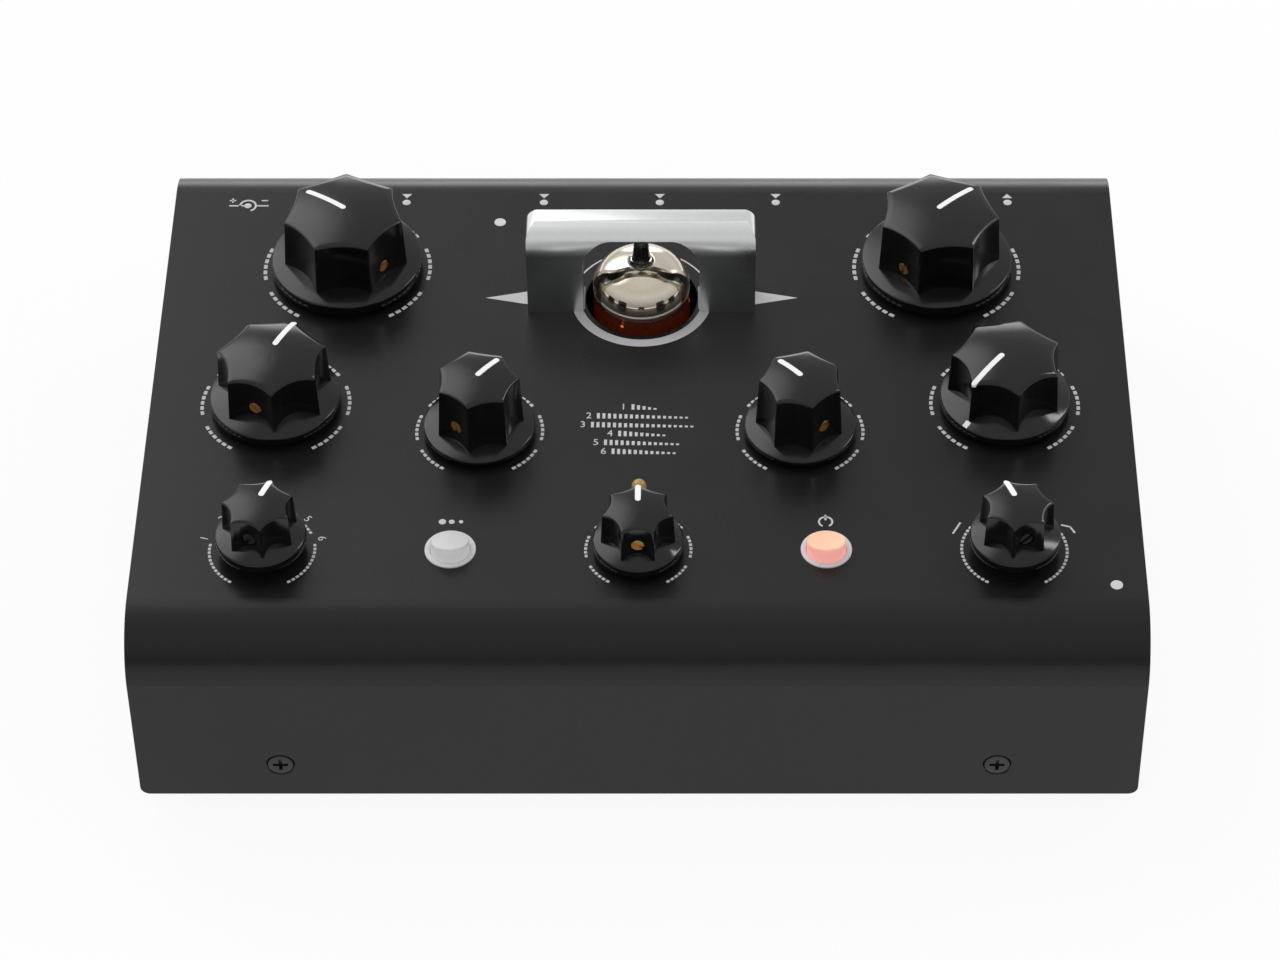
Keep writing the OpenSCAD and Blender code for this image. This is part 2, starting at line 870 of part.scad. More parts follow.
// Hollow of the hood, open below, round the two pillars
module hood_hollow() {
    difference() {
        union() {
            along_x(hood_w - 2 * hood_wall)
                translate([0, -cut])
                    hood_side(hood_wall);
            along_x(hood_w - 2 * hood_wall)
                hood_side(hood_wall);
        }
        at_hood_screws()
            translate([0, 0, panel_z - 2 * cut])
                cylinder(d = pillar_d, h = hood_h);
    }
}

module tube_hood() {
    color([0.8, 0.8, 0.82])
        difference() {
            intersection() {
                along_x(hood_w)
                    hood_side(0);
                through_y()
                    round_top(hood_w, hood_h, hood_end_r);
            }
            hood_hollow();
            through_y()
                round_top(arch_w, arch_h, arch_r);
            at_hood_screws()
                translate([0, 0, panel_z - cut])
                    cylinder(d = screw_d + 2 * thread_gap, h = hood_screw_depth + cut);
        }
}

module hood_screws() {
    color("silver")
        at_hood_screws()
            translate([0, 0, under_z])
                pan_screw(sheet_t + hood_screw_depth - end_gap);
}

// Half outline of the tube's glass, drawn inside its outer face by a distance
module glass_outline(by, bottom) {
    tangent_x = crown_r * (tube_d / 2 - shoulder_r) / (crown_r - shoulder_r);
    translate([0, bottom])
        square([tube_d / 2 - by, dome_z - bottom]);
    intersection() {
        translate([tube_d / 2 - shoulder_r, dome_z])
            circle(r = shoulder_r - by);
        translate([0, dome_z - cut])
            square([tube_d, crown_r]);
    }
    intersection() {
        translate([0, crown_z])
            circle(r = crown_r - by);
        translate([0, dome_z - cut])
            square([tangent_x * (1 - by / crown_r), crown_r]);
    }
}

module tube_glass() {
    pip_base_z = apex_z - glass_t;
    pip_tip_d = pip_d * 0.6;
    color([0.75, 0.7, 0.65, 0.5])
        difference() {
            union() {
                at_tube()
                    rotate_extrude()
                        glass_outline(0, seat_z);
                at_tube()
                    translate([0, 0, pip_base_z])
                        cylinder(d1 = pip_d, d2 = pip_tip_d, h = glass_t + pip_h - pip_tip_d / 2);
                at_tube()
                    translate([0, 0, apex_z + pip_h - pip_tip_d / 2])
                        sphere(d = pip_tip_d);
            }
            at_tube()
                rotate_extrude()
                    glass_outline(glass_t, seat_z + glass_base_t);
            at_tube_pins()
                translate([0, 0, seat_z - cut])
                    cylinder(d = pin_d + 2 * thread_gap, h = glass_base_t + 2 * cut);
        }
}

module tube_electrodes() {
    mica_d = tube_d - 2 * glass_t - 2 * mica_gap;
    stack_h = top_mica_z - low_mica_z - mica_t;
    color([0.55, 0.55, 0.55])
        at_tube() {
            for (z = [low_mica_z, top_mica_z])
                translate([0, 0, z])
                    cylinder(d = mica_d, h = mica_t);
            for (side = [-1, 1])
                translate([side * plate_x, 0, low_mica_z + mica_t]) {
                    difference() {
                        translate([-plate_w / 2, -plate_d / 2, 0])
                            cube([plate_w, plate_d, stack_h]);
                        translate([plate_t - plate_w / 2, plate_t - plate_d / 2, -cut])
                            cube([plate_w - 2 * plate_t, plate_d - 2 * plate_t, stack_h + 2 * cut]);
                    }
                    cylinder(d = cathode_d, h = stack_h);
                }
            translate([0, 0, top_mica_z + mica_t]) {
                cylinder(d = cathode_d, h = getter_t);
                translate([0, 0, getter_t])
                    cylinder(d = getter_d, h = getter_t);
            }
        }
}

module tube_pins() {
    color([0.75, 0.75, 0.72])
        at_tube_pins()
            translate([0, 0, seat_z - pin_l])
                cylinder(d = pin_d, h = low_mica_z - seat_z + pin_l);
}

module tube_socket() {
    center_hole_d = 5;
    color([0.9, 0.88, 0.82])
        difference() {
            at_tube()
                difference() {
                    translate([0, 0, main_z])
                        cylinder(d = socket_d, h = socket_h);
                    translate([0, 0, main_z - cut])
                        cylinder(d = center_hole_d, h = socket_h + 2 * cut);
                }
            at_tube_pins()
                translate([0, 0, seat_z - pin_l - end_gap])
                    cylinder(d = pin_d + 2 * thread_gap, h = pin_l + end_gap + cut);
        }
}

// Boards

module control_board() {
    hole_gap = 2;
    color([0.1, 0.3, 0.16])
        difference() {
            translate([-board_half, at_y(board_front_y), control_z - pcb_t])
                cube([2 * board_half, control_rear_y - board_front_y, pcb_t]);
            at_tube()
                translate([0, 0, control_z - pcb_t - cut])
                    cylinder(d = tube_d + 2 * hole_gap, h = pcb_t + 2 * cut);
        }
}

module at_supports() {
    for (x = [support_inset - board_half, board_half - support_inset])
        for (y = [support_front_y, case_d - support_rear_gap])
            translate([x, at_y(y), floor_z])
                children();
}

module main_board() {
    color([0.1, 0.3, 0.16])
        difference() {
            translate([-board_half, at_y(board_front_y), main_z - pcb_t])
                cube([2 * board_half, flange_y - end_gap - at_y(board_front_y), pcb_t]);
            at_supports()
                cylinder(d = support_neck_d + 2 * thread_gap, h = support_h + pcb_t + cut);
        }
}

module board_supports() {
    head_d = support_neck_d + 1;
    head_h = 2;
    color([0.9, 0.9, 0.88])
        at_supports() {
            cylinder(d = support_d, h = support_h);
            cylinder(d = support_neck_d, h = support_h + pcb_t + end_gap);
            translate([0, 0, support_h + pcb_t])
                cylinder(d1 = head_d, d2 = support_neck_d / 2, h = head_h);
        }
}

module board_link() {
    gap_z = control_z - pcb_t;
    pin_pitch = link_w / link_pins;
    color([0.12, 0.12, 0.12])
        translate([0, at_y(link_y), 0]) {
            translate([-link_w / 2, -link_d / 2, main_z])
                cube([link_w, link_d, link_h]);
            translate([-link_w / 2, -link_d / 2, gap_z - link_h])
                cube([link_w, link_d, link_h]);
            for (i = [0 : link_pins - 1])
                translate([(i + 0.5) * pin_pitch - link_w / 2, 0, (main_z + gap_z) / 2])
                    cube([link_pin_w, link_pin_w, gap_z - main_z - 2 * link_h + cut], center = true);
        }
}

module board_parts() {
    rim = 0.8;
    color([0.2, 0.22, 0.3])
        for (i = [-2:2])
            translate([i * part_pitch, at_y(part_row_y), main_z]) {
                cylinder(d = capacitor_d, h = capacitor_h - rim);
                translate([0, 0, capacitor_h - rim])
                    cylinder(d1 = capacitor_d, d2 = capacitor_d - 2 * rim, h = rim);
                translate([-chip_w / 2, chip_row_y - part_row_y - chip_w / 2, 0])
                    cube([chip_w, chip_w, chip_t]);
            }
}

// Pots, selectors and their moving pieces

// Hollow body with its bushing, at its place under the panel
module pot(control) {
    diameter = control[4];
    translate([control[0], at_y(control[1]), 0])
        difference() {
            union() {
                translate([0, 0, control_z])
                    cylinder(d = diameter, h = pot_depth);
                translate([0, 0, control_z])
                    cylinder(d = bushing_d, h = panel_z + bushing_top - control_z);
            }
            translate([0, 0, control_z + pot_wall])
                cylinder(d = diameter - 2 * pot_wall, h = pot_depth - pot_wall - pot_roof);
            translate([0, 0, control_z + pot_wall])
                cylinder(d = shaft_d + 2 * shaft_gap, h = panel_z - control_z + bushing_top + cut);
        }
}

module pot_bodies() {
    color([0.6, 0.6, 0.58])
        for (control = POTS)
            pot(control);
}

module selector_bodies() {
    color([0.25, 0.25, 0.26])
        for (control = SELECTORS)
            pot(control);
}

module shaft_nuts() {
    color("silver")
        for (control = concat(POTS, SELECTORS))
            translate([control[0], at_y(control[1]), panel_z])
                hex_nut(nut_af, nut_h, bushing_d + 2 * thread_gap);
}

// Outer form of a knob's body: a cone with a domed top and a flute between each two lobes
module knob_body(kind) {
    top_r = body_r(kind);
    top_z = kind[3];
    low_z = knob_lift + knob_chamfer;
    lobe_z = top_z - kind[7];
    low_r = top_r + knob_taper * (lobe_z - low_z);
    high_r = top_r - knob_taper * kind[7];
    chord = top_r * sin(lobe_half) - lobe_land / 2;
    flute_r = (chord * chord + kind[4] * kind[4]) / (2 * kind[4]);
    flute_x = top_r * cos(lobe_half) - kind[4] + flute_r;
    difference() {
        intersection() {
            translate([0, 0, low_z])
                cylinder(r1 = low_r, r2 = high_r, h = top_z - low_z);
            translate([0, 0, top_z - dome_r(kind)])
                sphere(r = dome_r(kind), $fn = 128);
        }
        for (i = [0 : lobes - 1])
            rotate(lobe_half * (1 + 2 * i))
                translate([0, flute_x, lobe_z])
                    rotate([atan(knob_taper), 0, 0])
                        translate([0, 0, -top_z])
                            cylinder(r = flute_r, h = 2 * top_z);
    }
}

module knob_skirt(kind) {
    skirt_r = kind[0] / 2;
    rim_z = knob_lift + kind[1];
    rotate_extrude()
        polygon([
            [0, knob_lift],
            [skirt_r - knob_chamfer, knob_lift],
            [skirt_r, knob_lift + knob_chamfer],
            [skirt_r, rim_z - knob_chamfer],
            [skirt_r - knob_chamfer, rim_z],
            [body_r(kind), rim_z + skirt_rise],
            [0, rim_z + skirt_rise]
        ]);
}

// Groove with round ends along the lobe that points at +Y, as deep all along below the dome
module pointer_groove(kind) {
    groove_h = kind[7] + pointer_depth + cut;
    outer_y = body_r(kind) - kind[6] - pointer_w / 2;
    inner_y = outer_y - kind[5] + pointer_w;
    difference() {
        translate([0, 0, kind[3] - kind[7] - pointer_depth]) {
            translate([-pointer_w / 2, inner_y, 0])
                cube([pointer_w, outer_y - inner_y, groove_h]);
            for (y = [inner_y, outer_y])
                translate([0, y, 0])
                    cylinder(d = pointer_w, h = groove_h);
        }
        translate([0, 0, kind[3] - pointer_depth - dome_r(kind)])
            sphere(r = dome_r(kind), $fn = 128);
    }
}

module knob(control) {
    kind = control[2];
    color([0.05, 0.05, 0.05])
        at_knob(control)
            difference() {
                union() {
                    knob_skirt(kind);
                    knob_body(kind);
                }
                cylinder(d = recess_d, h = recess_h);
                cylinder(d = shaft_d + 2 * thread_gap, h = kind[3] - knob_roof);
                translate([0, 0, set_screw_h])
                    y_cylinder(set_screw_d + 2 * thread_gap, -kind[0], 0);
                pointer_groove(kind);
            }
}

module shaft(control) {
    kind = control[2];
    disc_z = under_z - panel_z - pot_roof - wiper_gap - wiper_t;
    disc_d = control[4] - 2 * pot_wall - 2 * wiper_gap;
    top = control[5] + kind[3] - knob_roof - end_gap;
    color([0.7, 0.7, 0.7])
        at_control(control)
            difference() {
                union() {
                    translate([0, 0, disc_z])
                        cylinder(d = shaft_d, h = top - disc_z);
                    translate([0, 0, disc_z])
                        cylinder(d = disc_d, h = wiper_t);
                }
                translate([-shaft_d, -shaft_d - shaft_d / 2 + shaft_flat, recess_h])
                    cube([2 * shaft_d, shaft_d, top]);
            }
}

module set_screw(control) {
    inner = shaft_d / 2 - shaft_flat;
    outer = flute_floor(control[2]) - set_screw_sink;
    slot_w = 0.6;
    slot_depth = 0.8;
    color([0.75, 0.58, 0.28])
        at_knob(control)
            translate([0, 0, set_screw_h])
                difference() {
                    y_cylinder(set_screw_d, -outer, -inner);
                    translate([-set_screw_d, -outer - cut, -slot_w / 2])
                        cube([2 * set_screw_d, slot_depth + cut, slot_w]);
                }
}

module knob_rear_left() { knob(REAR_LEFT); }
module knob_rear_right() { knob(REAR_RIGHT); }
module knob_outer_left() { knob(OUTER_LEFT); }
module knob_inner_left() { knob(INNER_LEFT); }
module knob_inner_right() { knob(INNER_RIGHT); }
module knob_outer_right() { knob(OUTER_RIGHT); }
module knob_front_left() { knob(FRONT_LEFT); }
module knob_front_centre() { knob(FRONT_CENTRE); }
module knob_front_right() { knob(FRONT_RIGHT); }

module shaft_rear_left() { shaft(REAR_LEFT); }
module shaft_rear_right() { shaft(REAR_RIGHT); }
module shaft_outer_left() { shaft(OUTER_LEFT); }
module shaft_inner_left() { shaft(INNER_LEFT); }
module shaft_inner_right() { shaft(INNER_RIGHT); }
module shaft_outer_right() { shaft(OUTER_RIGHT); }
module shaft_front_left() { shaft(FRONT_LEFT); }
module shaft_front_centre() { shaft(FRONT_CENTRE); }
module shaft_front_right() { shaft(FRONT_RIGHT); }

module set_screw_rear_left() { set_screw(REAR_LEFT); }
module set_screw_rear_right() { set_screw(REAR_RIGHT); }
module set_screw_outer_left() { set_screw(OUTER_LEFT); }
module set_screw_inner_left() { set_screw(INNER_LEFT); }
module set_screw_inner_right() { set_screw(INNER_RIGHT); }
module set_screw_outer_right() { set_screw(OUTER_RIGHT); }
module set_screw_front_left() { set_screw(FRONT_LEFT); }
module set_screw_front_centre() { set_screw(FRONT_CENTRE); }
module set_screw_front_right() { set_screw(FRONT_RIGHT); }

// Buttons and indicators

// Cap with a round upper edge, a flange that stops it under the panel, and a stem
module button(side) {
    translate([side * button_x, at_y(front_row_y), 0]) {
        rotate_extrude() {
            translate([0, cap_flange_z - cap_flange_t])
                square([cap_d / 2, panel_z + cap_h - cap_edge_r - cap_flange_z + cap_flange_t]);
            translate([0, panel_z])
                square([cap_d / 2 - cap_edge_r, cap_h]);
            translate([cap_d / 2 - cap_edge_r, panel_z + cap_h - cap_edge_r])
                circle(r = cap_edge_r);
        }
        translate([0, 0, cap_flange_z - cap_flange_t])
            cylinder(d = cap_flange_d, h = cap_flange_t);
        translate([0, 0, stem_bottom])
            cylinder(d = stem_d, h = cap_flange_z - stem_bottom);
    }
}

module left_button() {
    color([0.92, 0.92, 0.92])
        button(-1);
}

module right_button() {
    color([1, 0.72, 0.6])
        button(1);
}

module button_bezels() {
    color([0.8, 0.8, 0.82])
        at_buttons()
            difference() {
                union() {
                    translate([0, 0, under_z])
                        cylinder(d = bezel_neck_d, h = sheet_t + bezel_h);
                    translate([0, 0, panel_z])
                        cylinder(d = bezel_d, h = bezel_h);
                }
                translate([0, 0, under_z - cut])
                    cylinder(d = cap_d + 2 * cap_gap, h = sheet_t + bezel_h + 2 * cut);
            }
}

module button_switches() {
    color([0.15, 0.15, 0.15])
        at_buttons()
            difference() {
                translate([-tact_w / 2, -tact_w / 2, control_z])
                    cube([tact_w, tact_w, tact_h]);
                translate([0, 0, stem_bottom - button_travel - end_gap])
                    cylinder(d = stem_d + 2 * shaft_gap, h = pot_depth);
            }
}

module indicator_lenses() {
    color([0.8, 0.8, 0.82])
        at_lenses() {
            translate([0, 0, control_z])
                cylinder(d = lens_d, h = panel_z - control_z);
            translate([0, 0, under_z - lens_flange_t])
                cylinder(d = lens_d + 2 * lens_flange_w, h = lens_flange_t);
        }
}

module amber_lamp() {
    color([0.85, 0.6, 0.2])
        translate([0, at_y(lamp_y), 0]) {
            translate([0, 0, control_z])
                cylinder(d = lamp_d, h = panel_z + lamp_h - lamp_d / 2 - control_z);
            translate([0, 0, panel_z + lamp_h - lamp_d / 2])
                sphere(d = lamp_d);
            translate([0, 0, under_z - lens_flange_t])
                cylinder(d = lamp_d + 2 * lens_flange_w, h = lens_flange_t);
        }
}

// Rear connectors

module audio_jacks() {
    mouth_y = panel_out_y + jack_reach;
    color([0.1, 0.1, 0.1])
        at_jacks()
            difference() {
                union() {
                    translate([-jack_w / 2, panel_in_y - jack_l, -jack_axis_h])
                        cube([jack_w, jack_l, 2 * jack_axis_h]);
                    y_cylinder(jack_sleeve_d, panel_in_y - cut, mouth_y);
                }
                y_cylinder(jack_bore_d, mouth_y - jack_bore_l, mouth_y + cut);
            }
}

module jack_nuts() {
    color([0.75, 0.75, 0.75])
        at_jacks()
            translate([0, panel_out_y, 0])
                rotate([-90, 0, 0])
                    hex_nut(jack_nut_af, jack_nut_h, jack_sleeve_d + 2 * thread_gap);
}

module at_din_contacts() {
    for (i = [-2:2])
        rotate([0, i * 45, 0])
            translate([0, 0, din_pin_circle / 2])
                children();
}

module din_socket() {
    face_y = panel_out_y + din_proud;
    key_w = 2.4;
    color([0.09, 0.09, 0.09])
        translate([-din_at, 0, axis_z])
            difference() {
                union() {
                    translate([-din_w / 2, panel_in_y - din_l, -jack_axis_h])
                        cube([din_w, din_l, jack_axis_h + din_d / 2]);
                    y_cylinder(din_d, panel_in_y - cut, face_y);
                }
                difference() {
                    y_cylinder(din_groove_out, face_y - din_groove_l, face_y + cut);
                    y_cylinder(din_groove_in, face_y - din_groove_l - cut, face_y + 2 * cut);
                }
                translate([-key_w / 2, face_y - din_groove_l, -din_groove_out / 2])
                    cube([key_w, din_groove_l + cut, key_w]);
                at_din_contacts()
                    y_cylinder(din_pin_d + 2 * thread_gap, face_y - din_groove_l, face_y + cut);
            }
}

module inlet_socket() {
    color([0.09, 0.09, 0.09])
        translate([-inlet_x, 0, main_z + inlet_axis_h])
            difference() {
                translate([-inlet_w / 2, panel_in_y - inlet_l, -inlet_axis_h])
                    cube([inlet_w, inlet_l, inlet_h]);
                y_cylinder(inlet_bore_d, panel_in_y - inlet_bore_l, panel_in_y + cut);
            }
}

module socket_contacts() {
    din_floor_y = panel_out_y + din_proud - din_groove_l;
    color([0.8, 0.75, 0.6]) {
        translate([-din_at, 0, axis_z])
            at_din_contacts()
                y_cylinder(din_pin_d, din_floor_y, din_floor_y + din_groove_l - contact_sink);
        translate([-inlet_x, 0, main_z + inlet_axis_h])
            y_cylinder(inlet_pin_d, panel_in_y - inlet_bore_l, panel_in_y - contact_sink);
    }
}

module power_switch_body() {
    cavity_w = switch_w - 2 * switch_wall;
    cavity_h = switch_h - 2 * switch_wall;
    pin_span = switch_w - switch_wall / 2;
    color([0.07, 0.07, 0.07])
        translate([-power_at, 0, axis_z])
            difference() {
                union() {
                    translate([-switch_w / 2, panel_in_y - switch_depth, -switch_h / 2])
                        cube([switch_w, switch_depth + sheet_t + bezel_edge, switch_h]);
                    translate([-switch_w / 2 - bezel_edge, panel_out_y, -switch_h / 2 - bezel_edge])
                        cube([switch_w + 2 * bezel_edge, bezel_edge, switch_h + 2 * bezel_edge]);
                }
                translate([-cavity_w / 2, panel_in_y - switch_depth + switch_wall, -cavity_h / 2])
                    cube([cavity_w, switch_depth + sheet_t + bezel_edge, cavity_h]);
                translate([0, pivot_y, 0])
                    rotate([0, 90, 0])
                        cylinder(d = rocker_pin_d + 2 * shaft_gap, h = pin_span, center = true);
            }
}

// Rocker that stands tilted in its switched-on place
module power_rocker() {
    cavity_h = switch_h - 2 * switch_wall;
    tip_z = cavity_h / 2 - 2 * rocker_gap;
    tip_y = 3;
    dish_y = 1.8;
    back_y = 4.5;
    rocker_w = switch_w - 2 * switch_wall - 2 * rocker_gap;
    color([0.12, 0.12, 0.12])
        translate([-power_at, pivot_y, axis_z])
            rotate([rocker_tilt, 0, 0]) {
                along_x(rocker_w)
                    polygon([
                        [-back_y, -tip_z / 3],
                        [-1, -tip_z],
                        [tip_y, -tip_z],
                        [dish_y, 0],
                        [tip_y, tip_z],
                        [-1, tip_z],
                        [-back_y, tip_z / 3]
                    ]);
                rotate([0, 90, 0])
                    cylinder(d = rocker_pin_d, h = switch_w - switch_wall / 2 - rocker_gap, center = true);
            }
}

top_cover();
rear_panel();
base_tray();
rubber_feet();
foot_screws();
case_screws();
tube_hood();
hood_screws();
tube_glass();
tube_electrodes();
tube_pins();
tube_socket();
control_board();
main_board();
board_supports();
board_link();
board_parts();
pot_bodies();
selector_bodies();
shaft_nuts();
left_button();
right_button();
button_bezels();
button_switches();
indicator_lenses();
amber_lamp();
audio_jacks();
jack_nuts();
din_socket();
inlet_socket();
socket_contacts();
power_switch_body();
power_rocker();
knob_rear_left();
knob_rear_right();
knob_outer_left();
knob_inner_left();
knob_inner_right();
knob_outer_right();
knob_front_left();
knob_front_centre();
knob_front_right();
shaft_rear_left();
shaft_rear_right();
shaft_outer_left();
shaft_inner_left();
shaft_inner_right();
shaft_outer_right();
shaft_front_left();
shaft_front_centre();
shaft_front_right();
set_screw_rear_left();
set_screw_rear_right();
set_screw_outer_left();
set_screw_inner_left();
set_screw_inner_right();
set_screw_outer_right();
set_screw_front_left();
set_screw_front_centre();
set_screw_front_right();
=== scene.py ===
# %% [markdown]
# # A desktop delay unit with a vacuum tube
# The unit is a black folded steel box. A vacuum tube looks out under a chrome hood, and nine fluted
# knobs, two buttons and a few printed marks fill its top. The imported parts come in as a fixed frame,
# in metres, and every piece that is modelled here is set into that frame.

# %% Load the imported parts
import json
from math import atan2, cos, degrees, exp, log, pi, radians, sin, sqrt, tan

import bmesh
import bpy
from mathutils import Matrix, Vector


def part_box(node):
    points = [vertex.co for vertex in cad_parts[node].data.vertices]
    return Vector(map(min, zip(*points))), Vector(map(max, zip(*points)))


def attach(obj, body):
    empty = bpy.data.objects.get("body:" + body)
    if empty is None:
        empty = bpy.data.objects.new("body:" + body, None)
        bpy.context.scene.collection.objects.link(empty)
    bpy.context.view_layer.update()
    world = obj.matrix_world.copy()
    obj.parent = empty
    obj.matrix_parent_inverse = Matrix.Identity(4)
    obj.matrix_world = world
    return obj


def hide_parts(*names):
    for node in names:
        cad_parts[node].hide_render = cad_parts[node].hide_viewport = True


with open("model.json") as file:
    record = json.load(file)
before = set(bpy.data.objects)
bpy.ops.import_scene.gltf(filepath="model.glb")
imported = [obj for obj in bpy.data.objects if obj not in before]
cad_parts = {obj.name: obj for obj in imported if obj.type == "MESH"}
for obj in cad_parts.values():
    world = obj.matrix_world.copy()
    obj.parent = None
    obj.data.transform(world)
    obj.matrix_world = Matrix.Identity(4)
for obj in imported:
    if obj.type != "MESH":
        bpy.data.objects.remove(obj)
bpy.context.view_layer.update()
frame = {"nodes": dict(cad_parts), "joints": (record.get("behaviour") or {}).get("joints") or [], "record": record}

MM = 0.001


def box_mm(node):
    """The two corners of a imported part's box, in millimetres."""
    return [[v / MM for v in corner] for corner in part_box(node)]


def middle(node):
    """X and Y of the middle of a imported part, in millimetres."""
    low, high = box_mm(node)
    return (low[0] + high[0]) / 2, (low[1] + high[1]) / 2


panel_z = box_mm("tube_hood")[0][2]
print("parts:", len(frame["nodes"]), "panel at", round(panel_z, 3), "mm")

# %% [markdown]
# ## Working by hand, in code
# Blender's operators act on whatever is selected, and loading leaves every part selected. So each step
# first clears the selection. Faces, edges and points are then picked by where they are, as a person
# would pick them with the mouse.

# %% Selecting
def clear_selection():
    """Leaves edit mode and selects nothing."""
    if bpy.context.mode != "OBJECT":
        bpy.ops.object.mode_set(mode="OBJECT")
    bpy.ops.object.select_all(action="DESELECT")


def hold(piece):
    """Makes one piece the selected and active one."""
    clear_selection()
    piece.select_set(True)
    bpy.context.view_layer.objects.active = piece


def edit(piece):
    """Holds a piece and opens it in edit mode."""
    hold(piece)
    bpy.ops.object.mode_set(mode="EDIT")


def done():
    """Leaves edit mode."""
    bpy.ops.object.mode_set(mode="OBJECT")


def outward():
    """Turns all faces of the open piece outwards, and leaves edit mode."""
    bpy.ops.mesh.select_all(action="SELECT")
    bpy.ops.mesh.normals_make_consistent(inside=False)
    done()


def pick(piece, kind, test):
    """Selects the points, edges or faces that pass a test, in edit mode."""
    bpy.ops.mesh.select_mode(type=kind)
    bpy.ops.mesh.select_all(action="DESELECT")
    mesh = bmesh.from_edit_mesh(piece.data)
    for part in {"VERT": mesh.verts, "EDGE": mesh.edges, "FACE": mesh.faces}[kind]:
        if test(part):
            part.select_set(True)
    mesh.select_flush_mode()
    bmesh.update_edit_mesh(piece.data)


def named(name):
    """Names the piece that was just added."""
    piece = bpy.context.object
    piece.name = name
    piece.data.name = name
    return piece


def apply_place(piece):
    """Puts a piece's place, turn and scale into its mesh."""
    hold(piece)
    bpy.ops.object.transform_apply(location=True, rotation=True, scale=True)


def put(piece, x, y, z=0.0):
    """Moves a piece to a place in millimetres, and puts place and turn into its mesh."""
    piece.location = (x * MM, y * MM, z * MM)
    apply_place(piece)
    return piece


def copy_of(piece, name):
    """A copy with a mesh of its own."""
    twin = piece.copy()
    twin.data = piece.data.copy()
    twin.name = name
    twin.data.name = name
    bpy.context.scene.collection.objects.link(twin)
    return twin


def joined(name, pieces):
    """Joins pieces into one."""
    clear_selection()
    for piece in pieces:
        piece.select_set(True)
    bpy.context.view_layer.objects.active = pieces[0]
    if len(pieces) > 1:
        bpy.ops.object.join()
    return named(name)


def carve(piece, tool, operation="DIFFERENCE", keep_tool=False):
    """Cuts or intersects a piece with a tool, which is then thrown away unless it is kept."""
    hold(piece)
    modifier = piece.modifiers.new("carve", "BOOLEAN")
    modifier.operation = operation
    modifier.solver = "EXACT"
    modifier.object = tool
    bpy.ops.object.modifier_apply(modifier=modifier.name)
    if not keep_tool:
        bpy.data.objects.remove(tool)


def settle(piece, body, material, angle=35):
    """Shades a finished piece, gives it its finish and lets it ride on a body."""
    apply_place(piece)
    bpy.ops.object.shade_smooth_by_angle(angle=radians(angle))
    piece.data.materials.clear()
    piece.data.materials.append(material)
    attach(piece, body)


print("helpers ready")

# %% [markdown]
# ## Turned forms
# Most of this unit's trim is round: rims, caps, lenses, glass. On a lathe such a piece is a profile
# swept round an axis. Here a circle is extruded ring by ring, and each ring is resized to the next
# radius, which keeps every face a clean four-sided one.

# %% Turning a profile
def extrude(x, y, z):
    """Extrudes what is selected by a step in metres."""
    bpy.ops.mesh.extrude_region_move(TRANSFORM_OT_translate={"value": (x, y, z)})


def resize(x, y, z, centre=(0, 0, 0)):
    """Resizes what is selected about a centre in metres."""
    bpy.ops.transform.resize(value=(x, y, z), center_override=centre)


def next_ring(old, new):
    """Extrudes the selected ring from one (radius, height) to the next."""
    extrude(0, 0, (new[1] - old[1]) * MM)
    if abs(new[0] - old[0]) > 1e-9:
        share = new[0] / old[0]
        resize(share, share, 1)


def turned(name, profile, count, ring=False, close_tip=False):
    """Turns a profile of (radius, height) pairs in millimetres about the Z axis."""
    clear_selection()
    radius, height = profile[0]
    fill = "NOTHING" if ring else "NGON"
    bpy.ops.mesh.primitive_circle_add(vertices=count, radius=radius * MM, fill_type=fill)
    piece = put(named(name), 0, 0, height)
    edit(piece)
    bpy.ops.mesh.select_all(action="SELECT")
    for old, new in zip(profile, profile[1:]):
        next_ring(old, new)
    if close_tip:
        bpy.ops.mesh.merge(type="CENTER")
    if ring:
        pick(piece, "EDGE", lambda edge: edge.is_boundary)
        bpy.ops.mesh.bridge_edge_loops()
    outward()
    return piece


def arc(centre, radius, start, end, steps):
    """Points of a profile on an arc, from one angle to another, in degrees from the outward axis."""
    turns = [radians(start + (end - start) * i / steps) for i in range(steps + 1)]
    return [(centre[0] + radius * cos(t), centre[1] + radius * sin(t)) for t in turns]


def block(name, low, high):
    """A box between two corners, in millimetres."""
    clear_selection()
    bpy.ops.mesh.primitive_cube_add(size=1)
    piece = named(name)
    piece.location = [(a + b) / 2 * MM for a, b in zip(low, high)]
    piece.scale = [(b - a) * MM for a, b in zip(low, high)]
    apply_place(piece)
    return piece


def round_edges(piece, radius, segments, test):
    """Bevels the edges that pass a test."""
    edit(piece)
    pick(piece, "EDGE", test)
    bpy.ops.mesh.bevel(offset=radius * MM, segments=segments, affect="EDGES", clamp_overlap=True)
    done()


def runs_along(edge, axis):
    """True if an edge lies along one axis."""
    step = edge.verts[1].co - edge.verts[0].co
    return abs(step[axis]) > 0.999 * step.length


print("lathe ready")

# %% [markdown]
# ## Shared surface effects
# Real surfaces are never one flat colour. Two node groups give every finish its detail: a fine grain,
# as of powder coat, moulded plastic or cast metal, and wide soft smudges that change the gloss where
# hands have been. Each material places them with its own scale.

# %% Grain and smudge groups
def map_range(tree, value_from, low, high, to=(0.0, 1.0), curve="LINEAR"):
    """Maps a value between two limits to two other limits."""
    node = tree.nodes.new("ShaderNodeMapRange")
    node.interpolation_type = curve
    for title, value in zip(("From Min", "From Max", "To Min", "To Max"), (low, high, *to)):
        node.inputs[title].default_value = value
    tree.links.new(value_from, node.inputs["Value"])
    return node.outputs["Result"]


